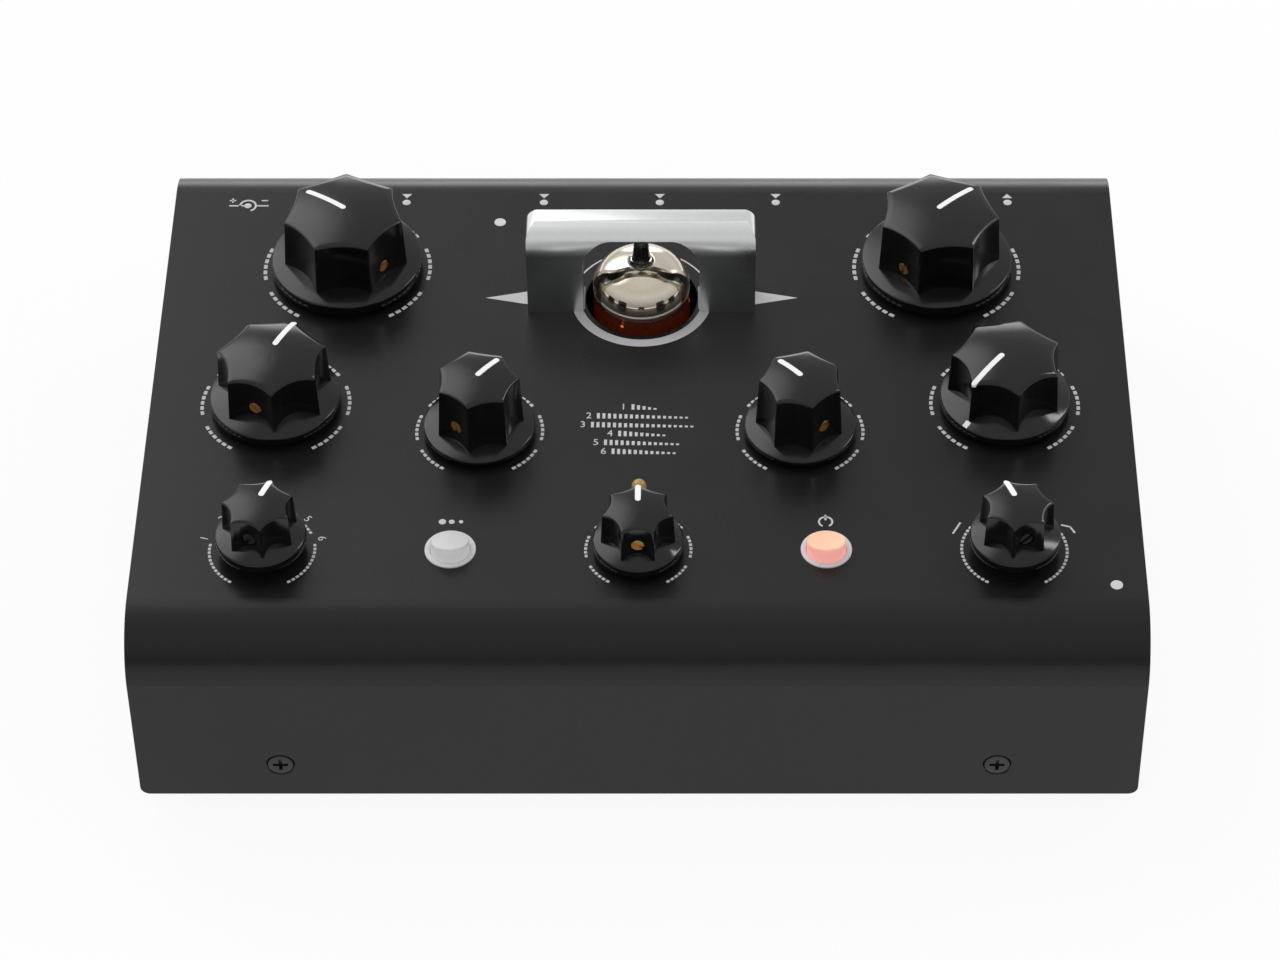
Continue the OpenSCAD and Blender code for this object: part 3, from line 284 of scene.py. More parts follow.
def mix_colours(tree, share_from, dark, light):
    """Mixes two colours by a value between 0 and 1."""
    node = tree.nodes.new("ShaderNodeMix")
    node.data_type = "RGBA"
    node.inputs["A"].default_value = (*dark, 1)
    node.inputs["B"].default_value = (*light, 1)
    tree.links.new(share_from, node.inputs["Factor"])
    return node.outputs["Result"]


def along(tree, vector_from, way):
    """How far a vector reaches along a direction."""
    node = tree.nodes.new("ShaderNodeVectorMath")
    node.operation = "DOT_PRODUCT"
    node.inputs[1].default_value = way
    tree.links.new(vector_from, node.inputs[0])
    return node.outputs["Value"]


def placed(tree, group, place, size_mm):
    """A group node whose pattern lies on some coordinates and has some size."""
    node = tree.nodes.new("ShaderNodeGroup")
    node.node_tree = group
    node.inputs["Scale"].default_value = 1 / (size_mm * MM)
    tree.links.new(place, node.inputs["Vector"])
    return node


def pattern(name, detail, roughness, low, high):
    """A group that gives a noise as a height and, stretched between two limits, as a mask."""
    group = bpy.data.node_groups.new(name, "ShaderNodeTree")
    for title, kind in (("Vector", "NodeSocketVector"), ("Scale", "NodeSocketFloat")):
        group.interface.new_socket(name=title, in_out="INPUT", socket_type=kind)
    for title in ("Height", "Mask"):
        group.interface.new_socket(name=title, in_out="OUTPUT", socket_type="NodeSocketFloat")
    start = group.nodes.new("NodeGroupInput")
    end = group.nodes.new("NodeGroupOutput")
    noise = group.nodes.new("ShaderNodeTexNoise")
    noise.inputs["Detail"].default_value = detail
    noise.inputs["Roughness"].default_value = roughness
    for title in ("Vector", "Scale"):
        group.links.new(start.outputs[title], noise.inputs[title])
    mask = map_range(group, noise.outputs["Fac"], low, high)
    group.links.new(noise.outputs["Fac"], end.inputs["Height"])
    group.links.new(mask, end.inputs["Mask"])
    return group


grain = pattern("fine_grain", 4, 0.6, 0.3, 0.7)
smudge = pattern("soft_smudge", 3, 0.5, 0.35, 0.65)
print("groups:", grain.name, smudge.name)

# %% [markdown]
# ## Finishes
# One function builds a finish on the Principled shader: two close colours mixed by the grain, a
# roughness that moves between two limits with the smudges, and a bump from the grain. What is the same
# all over, such as metal or clear coat, is set on the shader itself.

# %% Building a finish
def finish(name, dark, light, rough, grain_mm=0.3, bump_mm=0.004, smudge_mm=14, **settings):
    """A material with grain in its colour and bump, and smudges in its gloss."""
    material = bpy.data.materials.new(name)
    material.use_nodes = True
    tree = material.node_tree
    shader = tree.nodes["Principled BSDF"]
    place = tree.nodes.new("ShaderNodeTexCoord").outputs["Object"]

    fine = placed(tree, grain, place, grain_mm)
    colour = mix_colours(tree, fine.outputs["Mask"], dark, light)
    tree.links.new(colour, shader.inputs["Base Color"])

    wide = placed(tree, smudge, place, smudge_mm)
    gloss = map_range(tree, wide.outputs["Mask"], 0.0, 1.0, rough)
    tree.links.new(gloss, shader.inputs["Roughness"])

    bump = tree.nodes.new("ShaderNodeBump")
    bump.inputs["Distance"].default_value = bump_mm * MM
    tree.links.new(fine.outputs["Height"], bump.inputs["Height"])
    tree.links.new(bump.outputs["Normal"], shader.inputs["Normal"])
    for title, value in settings.items():
        shader.inputs[title.replace("_", " ")].default_value = value
    return material


def grey(value):
    """A neutral colour."""
    return (value, value, value)


case_paint = finish(
    "case_powder_coat", (0.0064, 0.0063, 0.0065), (0.0086, 0.0085, 0.0086), (0.26, 0.31),
    grain_mm=0.35, bump_mm=0.006, Specular_IOR_Level=0.31,
)
knob_plastic = finish(
    "knob_phenolic", grey(0.003), grey(0.005), (0.11, 0.17), grain_mm=0.8, bump_mm=0.0006,
    Specular_IOR_Level=0.42,
)
pointer_paint = finish("pointer_paint", grey(0.86), grey(0.92), (0.4, 0.5), grain_mm=0.2)
panel_ink = finish("panel_ink", (0.52, 0.52, 0.53), (0.6, 0.6, 0.61), (0.5, 0.6), grain_mm=0.25)
chrome = finish(
    "hood_chrome", (0.80, 0.82, 0.82), (0.83, 0.85, 0.85), (0.27, 0.32), grain_mm=1.2, bump_mm=0.0003,
    Metallic=1.0,
)
brass = finish("set_screw_brass", (0.9, 0.56, 0.18), (0.98, 0.66, 0.26), (0.36, 0.44), Metallic=1.0)
dark_steel = finish("set_screw_steel", grey(0.1), grey(0.14), (0.3, 0.4), Metallic=1.0)
black_screw = finish("case_screw_black", grey(0.018), grey(0.026), (0.3, 0.42), Metallic=0.2)
bright_steel = finish("plated_steel", grey(0.52), grey(0.62), (0.25, 0.38), Metallic=1.0)
cast_zinc = finish("cast_zinc", grey(0.4), grey(0.5), (0.4, 0.55), grain_mm=0.6, Metallic=1.0)
white_cap = finish(
    "button_white", (0.61, 0.61, 0.615), (0.67, 0.67, 0.675), (0.38, 0.46), Subsurface_Weight=0.15,
    Subsurface_Scale=0.002,
)
trim_grey = finish("trim_grey", (0.6, 0.6, 0.62), (0.68, 0.68, 0.7), (0.4, 0.5))
rubber = finish("foot_rubber", grey(0.012), grey(0.022), (0.75, 0.9), grain_mm=0.5, bump_mm=0.02)
black_plastic = finish("black_plastic", grey(0.012), grey(0.02), (0.45, 0.6), bump_mm=0.01)
gloss_black = finish("rocker_black", grey(0.01), grey(0.014), (0.2, 0.3), bump_mm=0.002)
nylon = finish("natural_nylon", (0.6, 0.59, 0.55), (0.7, 0.69, 0.65), (0.45, 0.6))
ceramic = finish("socket_ceramic", (0.7, 0.68, 0.62), (0.8, 0.78, 0.72), (0.3, 0.4))
board_green = finish("circuit_board", (0.004, 0.012, 0.007), (0.006, 0.02, 0.01), (0.35, 0.5), grain_mm=1.5)
print("finishes:", len(bpy.data.materials))

# %% [markdown]
# ## Glow painted into the finishes
# The small amber lamp behind the front knob is a real lamp. The other glows are painted light: a painted glow
# over the right button, pinker down its side, painted light on the side of the left one, and painted red light
# of the tube's heaters on the metal near them. Each glow is an emission colour that changes over the piece, so
# it stays with the model under any other light. A button's glow changes along its leaning top.

# %% Glowing finishes
def add_glow(material, strength, low, high, low_z, high_z, lean=0.0):
    """Adds an emission colour that changes from one height to another, along a level or leaning plane."""
    tree = material.node_tree
    shader = tree.nodes["Principled BSDF"]
    place = tree.nodes["Texture Coordinate"].outputs["Object"]
    rise = along(tree, place, (0, lean, 1))
    height = map_range(tree, rise, low_z * MM, high_z * MM)
    tree.links.new(mix_colours(tree, height, low, high), shader.inputs["Emission Color"])
    shader.inputs["Emission Strength"].default_value = strength


CAP_MID = 2.85
CAP_LEAN = radians(19.5)
cap_slope = tan(CAP_LEAN)
cap_face = panel_z + CAP_MID + middle("right_button")[1] * cap_slope
cap_edge = (cap_face - 0.7, cap_face - 0.2, cap_slope)
orange_cap = finish("button_orange", (0.75, 0.42, 0.32), (0.8, 0.46, 0.35), (0.38, 0.46))
# Painted glow: the orange cap gives off an emission colour, pinker down its side and paler orange on its top.
add_glow(orange_cap, 0.5, (0.98, 0.36, 0.34), (0.72, 0.38, 0.205), *cap_edge)
# Painted light: the white cap's side gives off a grey-white emission, so it looks as bright as its top; the top
# has none.
add_glow(white_cap, 0.2, grey(0.95), grey(0.0), *cap_edge)
electrode = finish("tube_electrode", grey(0.04), grey(0.07), (0.4, 0.55), Metallic=0.6)
# Painted red light of the heaters on the electrodes, strongest at their lower end.
add_glow(electrode, 0.05, (1.0, 0.16, 0.02), (0.5, 0.03, 0.0), panel_z - 8, panel_z + 2)
# A thin band inside the glass wall gets a painted red glow for the red light of the hot cathodes seen through the
# glass.
red_glow_paint = finish(
    "tube_painted_red_glow", (0.006, 0.002, 0.001), (0.12, 0.028, 0.01), (0.25, 0.4), grain_mm=1.6, bump_mm=0.05,
)
add_glow(red_glow_paint, 0.028, (0.9, 0.1, 0.02), (0.7, 0.08, 0.02), panel_z - 2, panel_z + 2)
# Painted glints: tiny orange spots set in the glass wall.
painted_glint = finish("painted_glint", (0.5, 0.12, 0.02), (0.6, 0.16, 0.03), (0.4, 0.5))
add_glow(painted_glint, 0.7, (1.0, 0.2, 0.02), (1.0, 0.32, 0.05), panel_z + 0.1, panel_z + 0.9)
# Painted shade: a dark glossy core for the inside of the pip, for the dark hood that the pip reflects.
pip_shade_paint = finish("pip_painted_shade", (0.01, 0.008, 0.006), (0.02, 0.016, 0.012), (0.05, 0.12), bump_mm=0.0)
amber = finish("lamp_amber", (0.25, 0.17, 0.03), (0.3, 0.2, 0.04), (0.12, 0.2), Coat_Weight=0.6)
add_glow(amber, 0.1, (0.8, 0.5, 0.08), (0.9, 0.65, 0.15), panel_z, panel_z + 2.6)
print("glow on:", orange_cap.name, electrode.name, red_glow_paint.name, amber.name)

# %% [markdown]
# ## Glass
# The tube's envelope is clear glass. Over the dome its inside carries a silver mirror, left by the getter
# when the tube was made. The glass and the mirror are two pieces, because glass lets light through and
# a mirror does not. The mirror thins out towards its lower edge, which the alpha follows.

# %% Glass and getter mirror
FADE_FROM = panel_z + 1.0
FADE_TO = panel_z + 3.0
tube_clear = finish(
    "tube_glass_clear", grey(0.94), grey(0.97), (0.0, 0.02), bump_mm=0.0, Transmission_Weight=1.0, IOR=1.45,
)
getter = finish(
    "getter_mirror", (0.74, 0.66, 0.54), (0.82, 0.74, 0.62), (0.03, 0.07), smudge_mm=4, bump_mm=0.0,
    Metallic=1.0,
)
tree = getter.node_tree
height = along(tree, tree.nodes["Texture Coordinate"].outputs["Object"], (0, 0, 1))
fade = map_range(tree, height, FADE_FROM * MM, FADE_TO * MM)
tree.links.new(fade, tree.nodes["Principled BSDF"].inputs["Alpha"])
print("glass:", tube_clear.name, getter.name)

# %% [markdown]
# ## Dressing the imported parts
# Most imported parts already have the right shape. They keep it and only change their finish, by the
# material slot that the record gives them.

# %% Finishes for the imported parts
slot_finish = {
    "case_paint": case_paint, "rubber": rubber, "steel": bright_steel, "dark_steel": dark_steel,
    "black_screw": black_screw, "chrome": chrome, "glass": tube_clear, "electrode": electrode,
    "ceramic": ceramic, "circuit_board": board_green, "nylon": nylon, "black_plastic": black_plastic,
    "gloss_black": gloss_black, "zinc": cast_zinc, "knob_black": knob_plastic, "brass": brass,
    "white_cap": white_cap, "grey_plastic": trim_grey, "amber": amber, "orange_cap": orange_cap,
}
node_slot = {row["node"]: row["material_slot"] for row in frame["record"]["subparts"]}
for title, part in frame["nodes"].items():
    part.data.materials.clear()
    part.data.materials.append(slot_finish[node_slot[title]])
print("dressed:", len(node_slot))

# %% [markdown]
# ## Knobs
# Each knob is a fluted body on a round skirt. It could be cut from a cone with seven cylinders, but cuts
# leave ragged faces on a glossy surface. Here one circle is carried all the way: down the bore, out under
# the skirt, over its rim, then pulled in to the fluted outline and up to a domed top. The points of the
# outline are pulled in class by class: all points at the same angle from a lobe move together.

# %% Outline of the flutes
LOBES = 7
STEPS = 28
KNOB_LIFT = 1.3
SKIRT_RISE = 0.5
TAPER = 0.05
LAND = 0.4
LOBE_ROUND = 0.1
SIZES = ("skirt", "rim", "body", "top", "dome", "flute", "upper", "line", "edge")
ROWS = {
    "large": (32.3, 2.4, 25.7, 17.9, 1.8, 1.2, 0.55, 11.0, 2.4),
    "wide": (27.1, 2.0, 23.1, 16.0, 2.2, 2.1, 0.95, 10.4, -0.4),
    "medium": (23.2, 1.2, 17.4, 16.3, 1.2, 0.8, 0.45, 7.2, 1.7),
    "small": (18.4, 2.2, 14.7, 12.7, 1.1, 1.4, 0.85, 6.2, -0.4),
}
kinds = {title: dict(zip(SIZES, row)) for title, row in ROWS.items()}


def outline_share(kind, step, level="flute"):
    """Radius of the fluted outline, as a share of the lobes' radius, some steps from a lobe."""
    top_r, depth = kind["body"] / 2, kind[level]
    half = pi / LOBES
    chord = top_r * sin(half) - LAND / 2
    flute_r = (chord * chord + depth * depth) / (2 * depth)
    far = top_r * cos(half) - depth + flute_r
    turn = half - step * 2 * half / STEPS
    reach = flute_r ** 2 - (far * sin(turn)) ** 2
    dent = far * cos(turn) - sqrt(reach) if reach > 0 else 2 * top_r
    return -LOBE_ROUND * log(exp(-top_r / LOBE_ROUND) + exp(-dent / LOBE_ROUND)) / top_r


def lobe_step(point):
    """How many steps a point lies from the nearest lobe. One lobe points along +Y."""
    pitch = 360 / LOBES
    turn = degrees(atan2(point.x, point.y))
    away = abs((turn + pitch / 2) % pitch - pitch / 2)
    return round(away / pitch * STEPS)


print("narrowest part of a large knob:", round(outline_share(kinds["large"], STEPS // 2), 3))

# %% [markdown]
# The body narrows a little towards its top. The dome is a paraboloid, so a ring of it that is resized by
# some share in X and Y is resized by the square of that share in Z. That keeps the scalloped upper edge
# of the flutes exactly on the dome.

# %% One knob, still without its holes
BORE_R = 3.05
RECESS_R = 6.04
RECESS_H = 2.9
ROOF = 3.0
EDGE = 0.3
RIM_ROUND = 0.45
CAP_NEAR = 0.6
DOME_RINGS = (0.9, 0.85, 0.8, 0.7, 0.6, 0.4)


def foot_radius(kind):
    """Radius of the lobes where the body stands on the skirt, and the height of that place."""
    seat_z = KNOB_LIFT + kind["rim"] + SKIRT_RISE
    return kind["body"] / 2 + TAPER * (kind["top"] - kind["dome"] - seat_z), seat_z


def pick_class(piece, height, step):
    """Selects the points of the ring at a height that lie some steps from a lobe."""
    pick(piece, "VERT", lambda v: abs(v.co.z - height * MM) < 1e-7 and lobe_step(v.co) == step)


def pick_cap(piece, height):
    """Selects the face that closes the ring near a height."""
    sides = LOBES * STEPS
    near = CAP_NEAR * MM
    mid = height * MM
    pick(piece, "FACE", lambda f: len(f.verts) == sides and abs(f.calc_center_median().z - mid) < near)


def fluted_form(name, kind):
    """The closed form of a knob, with its bore and the recess below, standing on the panel at Z = 0."""
    skirt_r, top_r, top, dome = kind["skirt"] / 2, kind["body"] / 2, kind["top"], kind["dome"]
    rim_z = KNOB_LIFT + kind["rim"]
    wall_z = top - dome - EDGE
    wall_r = top_r + TAPER * EDGE
    foot_r, seat_z = foot_radius(kind)
    profile = [
        (BORE_R, top - ROOF), (BORE_R, RECESS_H), (RECESS_R, RECESS_H), (RECESS_R, KNOB_LIFT),
        *arc((skirt_r - EDGE, KNOB_LIFT + EDGE), EDGE, -90, 0, 3),
        *arc((skirt_r - RIM_ROUND, rim_z - RIM_ROUND), RIM_ROUND, 0, 78, 4),
        (foot_r + 0.2, seat_z - 0.04),
    ]
    piece = turned(name, profile, LOBES * STEPS)
    edit(piece)
    pick_cap(piece, seat_z)
    next_ring(profile[-1], (foot_r, seat_z))
    for step in range(STEPS // 2 + 1):
        share = outline_share(kind, step)
        pick_class(piece, seat_z, step)
        resize(share, share, 1)
    pick_cap(piece, seat_z)
    next_ring((foot_r, seat_z), (wall_r, wall_z))
    slope = SKIRT_RISE / (skirt_r - foot_r)
    for step in range(STEPS // 2 + 1):
        foot, upper = outline_share(kind, step), outline_share(kind, step, "upper")
        pick_class(piece, wall_z, step)
        resize(upper / foot, upper / foot, 1)
        bpy.ops.transform.translate(value=(0, 0, dome * (1 - upper ** 2) * MM))
        pick_class(piece, seat_z, step)
        bpy.ops.transform.translate(value=(0, 0, slope * foot_r * (1 - foot) * MM))
    pick_cap(piece, wall_z + dome / 4)
    rounding = arc((wall_r - EDGE, wall_z), EDGE, 0, 60, 2)
    for old, new in zip(rounding, rounding[1:]):
        next_ring(old, new)
    inner_r = wall_r - EDGE
    extrude(0, 0, (wall_z + EDGE - rounding[-1][1]) * MM)
    share = inner_r / rounding[-1][0]
    resize(share, share, (inner_r / wall_r) ** 2, (0, 0, top * MM))
    for share in DOME_RINGS:
        extrude(0, 0, 0)
        resize(share, share, share * share, (0, 0, top * MM))
    bpy.ops.mesh.merge(type="CENTER")
    outward()
    print(name, "points:", len(piece.data.vertices))
    return piece


# %% [markdown]
# Two cuts finish a knob: the hole of its set screw in the flute opposite the pointer, and the groove of
# the pointer. The white line is the same bar, kept only where it lies in the knob's own form, so that its
# upper face follows the dome. On two kinds the line runs on over the skirt, as a second short bar.

# %% Set screw hole and pointer line
SCREW_H = 7.0
SCREW_R = 1.55
POINTER_W = 1.2
POINTER_DEPTH = 0.4
INLAY_LIFT = 0.02


def pointer_bar(kind, width):
    """Upright bars for the pointer, along the lobe that points at +Y."""
    outer = kind["body"] / 2 - kind["edge"]
    low = (-width / 2, outer - kind["line"], kind["top"] - kind["dome"] - POINTER_DEPTH)
    bars = block("pointer_bar", low, (width / 2, outer, kind["top"] + 1))
    round_edges(bars, width / 2 - 0.01, 6, lambda e: runs_along(e, 2))
    if kind["edge"] < 0:
        foot_r, seat_z = foot_radius(kind)
        low = (-width / 2, foot_r - 0.1, seat_z - SKIRT_RISE - 0.25)
        skirt_bar = block("skirt_bar", low, (width / 2, kind["skirt"] / 2 - 0.2, seat_z + 0.2))
        bars = joined("pointer_bar", [bars, skirt_bar])
    return bars


def knob_and_pointer(name, kind):
    """A finished knob and the white line in its groove, both at the origin."""
    knob = fluted_form(name + "_knob", kind)
    pointer = pointer_bar(kind, POINTER_W - 0.03)
    carve(pointer, knob, "INTERSECT", keep_tool=True)
    pointer.name = name + "_pointer"
    put(pointer, 0, 0, INLAY_LIFT)
    carve(knob, pointer_bar(kind, POINTER_W))
    reach = kind["skirt"] / 2
    clear_selection()
    bpy.ops.mesh.primitive_cylinder_add(
        vertices=32, radius=SCREW_R * MM, depth=reach * MM,
        location=(0, -reach / 2 * MM, SCREW_H * MM), rotation=(pi / 2, 0, 0),
    )
    drill = named("drill")
    apply_place(drill)
    carve(knob, drill)
    return knob, pointer


# %% [markdown]
# The set screw is a slotted grub screw, nearly flush with the floor of the flute. It is turned, slotted
# with a thin block, and then tipped over so that its face looks out of the hole. Every screw stopped at
# another angle when it was tightened.

# %% Set screw
GRUB_R = 1.42
GRUB_L = 3.0
SLOT_W = 0.6
SLOT_DEPTH = 0.7
SCREW_SINK = 0.12


def flute_floor(kind):
    """Radius of the floor of a flute at the height of the set screw."""
    foot_r, seat_z = foot_radius(kind)
    low = foot_r * outline_share(kind, STEPS // 2)
    high = (kind["body"] / 2 + TAPER * EDGE) * outline_share(kind, STEPS // 2, "upper")
    share = (SCREW_H - seat_z) / (kind["top"] - kind["dome"] - EDGE - seat_z)
    return low + (high - low) * share


def grub_screw(name, kind, slot_turn):
    """A slotted screw in the place that it has in a knob at the origin."""
    profile = [(GRUB_R - 0.3, -GRUB_L), (GRUB_R, 0.3 - GRUB_L), (GRUB_R, -0.12), (GRUB_R - 0.12, 0)]
    screw = turned(name, profile, 40)
    carve(screw, block("slot", (-2, -SLOT_W / 2, -SLOT_DEPTH), (2, SLOT_W / 2, 1)))
    screw.rotation_euler.z = radians(slot_turn)
    apply_place(screw)
    screw.rotation_euler.x = pi / 2
    return put(screw, 0, SCREW_SINK - flute_floor(kind), SCREW_H)


masters = {title: knob_and_pointer(title, kind) for title, kind in kinds.items()}
print("masters:", sorted(masters))

# %% [markdown]
# Nine controls stand on the panel. Each is a copy of its master, turned to the angle that its pointer
# shows, set on the axis of its joint, and riding on its own body. The two selectors have longer shafts,
# so their knobs sit a little higher.

# %% Nine controls
CONTROLS = {
    "rear_left": ("large", -52), "rear_right": ("large", 45),
    "outer_left": ("wide", 22), "outer_right": ("wide", -138),
    "inner_left": ("medium", 37), "inner_right": ("medium", -41),
    "front_left": ("small", 18), "front_centre": ("small", 0), "front_right": ("small", -18),
}
SLOT_TURNS = (20, 75, 130, 50, 95, 10, 60, 150, 35)
SELECTOR_LIFT = 1.5
axis_of = {joint["name"]: joint["pos_m"] for joint in frame["joints"]}
for (control, (kind, turn)), slot_turn in zip(CONTROLS.items(), SLOT_TURNS):
    selector = control in ("front_left", "front_right")
    grub = grub_screw("grub_screw_" + control, kinds[kind], slot_turn)
    knob = copy_of(masters[kind][0], "fluted_knob_" + control)
    pointer = copy_of(masters[kind][1], "pointer_line_" + control)
    for piece, slot, material in (
        (knob, "knob_black", knob_plastic), (pointer, "white_cap", pointer_paint),
        (grub, "dark_steel", dark_steel) if selector else (grub, "brass", brass),
    ):
        piece.rotation_euler.z = -radians(turn)
        piece.location = axis_of[control + "_turn"]
        piece.location.z += SELECTOR_LIFT * MM if selector else 0
        settle(piece, control + "_control", material, angle=40)
    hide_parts("knob_" + control)
    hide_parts("set_screw_" + control)
for pair in masters.values():
    for master in pair:
        bpy.data.objects.remove(master)
print("controls:", len(CONTROLS))

# %% [markdown]
# ## Chrome hood
# A bridge of chromed metal stands over the tube. It is a block with a wide round along its upper front
# edge and small rounds at its ends, hollowed from below and cut through by an arch. Chrome shows every
# edge as a line of light, so the edges get a fine bevel at the end.

# %% Hood
hood_low, hood_high = box_mm("tube_hood")
HOOD_WALL = 2.0
HOOD_ROUND_R = 6.2
HOOD_END_R = 2.8
ARCH_W = 24.8
ARCH_H = 19.3
ARCH_R = 6.0
HOOD_EDGE = 0.35


def top_edges(piece, axis, behind=None):
    """A test for the upper edges of a block that run along one axis, none of them behind some depth."""
    top = max(v.co.z for v in piece.data.vertices)
    return lambda e: runs_along(e, axis) and all(
        v.co.z > top - 1e-7 and (behind is None or v.co.y < behind * MM) for v in e.verts
    )


def spread_by(sides, depth, below, above):
    """The corners of the hood's box, moved outwards."""
    low = (hood_low[0] - sides, hood_low[1] - depth, hood_low[2] - below)
    return low, (hood_high[0] + sides, hood_high[1] + depth, hood_high[2] + above)


hood_mid_y = (hood_low[1] + hood_high[1]) / 2
hood = block("chrome_hood", *spread_by(1, 0, 0, 0))
round_edges(hood, HOOD_ROUND_R, 20, top_edges(hood, 0, hood_mid_y))
ends = block("hood_ends", *spread_by(0, 1, 1, 0.1))
round_edges(ends, HOOD_END_R + 0.1, 8, top_edges(ends, 1))
carve(hood, ends, "INTERSECT")
hollow = block("hood_hollow", *spread_by(-HOOD_WALL, -HOOD_WALL, 1, -HOOD_WALL))
round_edges(hollow, HOOD_ROUND_R - HOOD_WALL, 12, top_edges(hollow, 0, hood_mid_y))
carve(hood, hollow)
arch_low = (-ARCH_W / 2, hood_low[1] - 2, hood_low[2] - 1)
arch = block("hood_arch", arch_low, (ARCH_W / 2, hood_high[1] + 2, hood_low[2] + ARCH_H))
round_edges(arch, ARCH_R, 12, top_edges(arch, 1))
carve(hood, arch)
hold(hood)
edges = hood.modifiers.new("edges", "BEVEL")
edges.width = HOOD_EDGE * MM
edges.segments = 3
edges.limit_method = "ANGLE"
edges.angle_limit = radians(40)
bpy.ops.object.modifier_apply(modifier=edges.name)
settle(hood, "case", chrome, angle=30)
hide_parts("tube_hood")
print("hood faces:", len(hood.data.polygons))

# %% [markdown]
# ## Tube
# The envelope is a turned form: a straight wall, a round shoulder, a flat crown and the pip where the tube
# was pumped out and sealed. The inner wall is a second turned form with its faces flipped inwards. The
# getter mirror is a thin cap just inside. Low in the glass a thin red band and two small spots carry painted
# glow, and a dark core in the pip is painted shade.

# %% Glass envelope
glass_low, glass_high = box_mm("tube_glass")
tube_x, tube_y = middle("tube_glass")
GLASS_T = 1.0
GLASS_FLOOR = 2.5
TUBE_R = 10.4
DOME_Z = panel_z + 3.8
SHOULDER_R = 6.5
CROWN_R = 14.0
crown_z = DOME_Z - sqrt((CROWN_R - SHOULDER_R) ** 2 - (TUBE_R - SHOULDER_R) ** 2)
meet = degrees(atan2(DOME_Z - crown_z, TUBE_R - SHOULDER_R))


def envelope(inset, base, tip):
    """Profile of the tube, drawn inside its outer face by some millimetres."""
    shoulder = arc((TUBE_R - SHOULDER_R, DOME_Z), SHOULDER_R - inset, 0, meet, 8)
    crown = arc((0, crown_z), CROWN_R - inset, meet, tip, 6)
    return [(TUBE_R - inset - 0.6, base), (TUBE_R - inset, base + 0.6)] + shoulder + crown[1:]


def at_tube(piece):
    """Puts a piece that was turned about the origin on the axis of the tube."""
    return put(piece, tube_x, tube_y)


PIP = [
    (2.25, 0.3), (1.95, 0.9), (1.8, 1.8), (1.7, 3.0), (1.6, 4.0), (1.5, 5.0), (1.2, 5.8), (0.7, 6.4),
]
PIP_H = 6.6
PIP_FOOT = 80
CAVITY_TIP = 88
outer = envelope(0, glass_low[2], PIP_FOOT)
pip_z = outer[-1][1]
pip_scale = (glass_high[2] - pip_z) / PIP_H
outer += [(r, pip_z + z * pip_scale) for r, z in PIP] + [(0.1, glass_high[2])]
shell = turned("tube_envelope", outer, 72, close_tip=True)
inner = envelope(GLASS_T, glass_low[2] + GLASS_FLOOR, CAVITY_TIP)
cavity = turned("tube_cavity", inner, 72, close_tip=True)
edit(cavity)
bpy.ops.mesh.select_all(action="SELECT")
bpy.ops.mesh.flip_normals()
done()
glass = at_tube(joined("tube_envelope", [shell, cavity]))
settle(glass, "case", tube_clear, angle=60)
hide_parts("tube_glass")
print("glass top:", round(glass_high[2], 2), "pip from", round(pip_z, 2))

# %% [markdown]
# The mirror lies on the inside of the glass, with no air between. Seen through the round wall it is
# magnified and fills the whole tube, so it is set close under the outer face. A dark core in the pip is painted
# shade, for the dark hood that the pip reflects. Low in the tube a thin band in the glass carries the painted red
# glow of the hot cathodes, and two small bright spots in the glass wall are painted glints.

# %% Getter mirror, painted glow and painted shade
FILM_IN = 0.2
FILM_DROP = 3.3
FILM_TIP = 81
CORE_IN = 0.3
RED_R = TUBE_R - FILM_IN - 0.02
SPOT_R = 0.42
SPOTS = ((-3.95, -9.13, 0.5), (9.8, -1.7, 0.9))

film = [(TUBE_R - FILM_IN, DOME_Z - FILM_DROP)]
film += arc((TUBE_R - SHOULDER_R, DOME_Z), SHOULDER_R - FILM_IN, 0, meet, 8)
film += arc((0, crown_z), CROWN_R - FILM_IN, meet, FILM_TIP, 6)[1:]
under = [(r - 0.08, z - 0.06) for r, z in reversed(film)]
mirror = turned("getter_mirror", film + under, 72, ring=True)
settle(at_tube(mirror), "case", getter, angle=60)

# The pip's dark core is painted shade for the dark reflection of the hood.
core = [(r - CORE_IN, pip_z + 0.1 + z * pip_scale) for r, z in PIP[:-1]]
pip_painted_shade_core = turned("pip_painted_shade_core", core, 32, close_tip=True)
settle(at_tube(pip_painted_shade_core), "case", pip_shade_paint, angle=60)

# Painted red glow: a thin band just inside the glass wall, low in the tube.
red = [(RED_R, panel_z - 4.0), (RED_R, panel_z + 3.0)]
red += [(r - 0.25, z) for r, z in reversed(red)]
painted_glow_band = turned("painted_red_glow_band", red, 72, ring=True)
settle(at_tube(painted_glow_band), "case", red_glow_paint, angle=60)
# Two painted glints, small glowing spots in the glass wall.
for number, (x, y, z) in enumerate(SPOTS, 1):
    spot = turned("heater_end_%d" % number, arc((0, 0), SPOT_R, -80, 80, 8), 20, close_tip=True)
    put(spot, tube_x + x, tube_y + y, panel_z + z)
    settle(spot, "case", painted_glint, angle=60)
print("mirror from", round(film[0][1] - panel_z, 2), "mm above the panel")

# %% [markdown]
# ## Buttons, bezels and lamp
# A button cap has a soft round edge, so its profile ends in an arc. Its top then leans away from the
# front, as on moulded key caps: the upper points are turned about the X axis and stretched back to the
# round outline. The bezel is a flat ring with a small round on its upper edges. The lamp is a little dome.

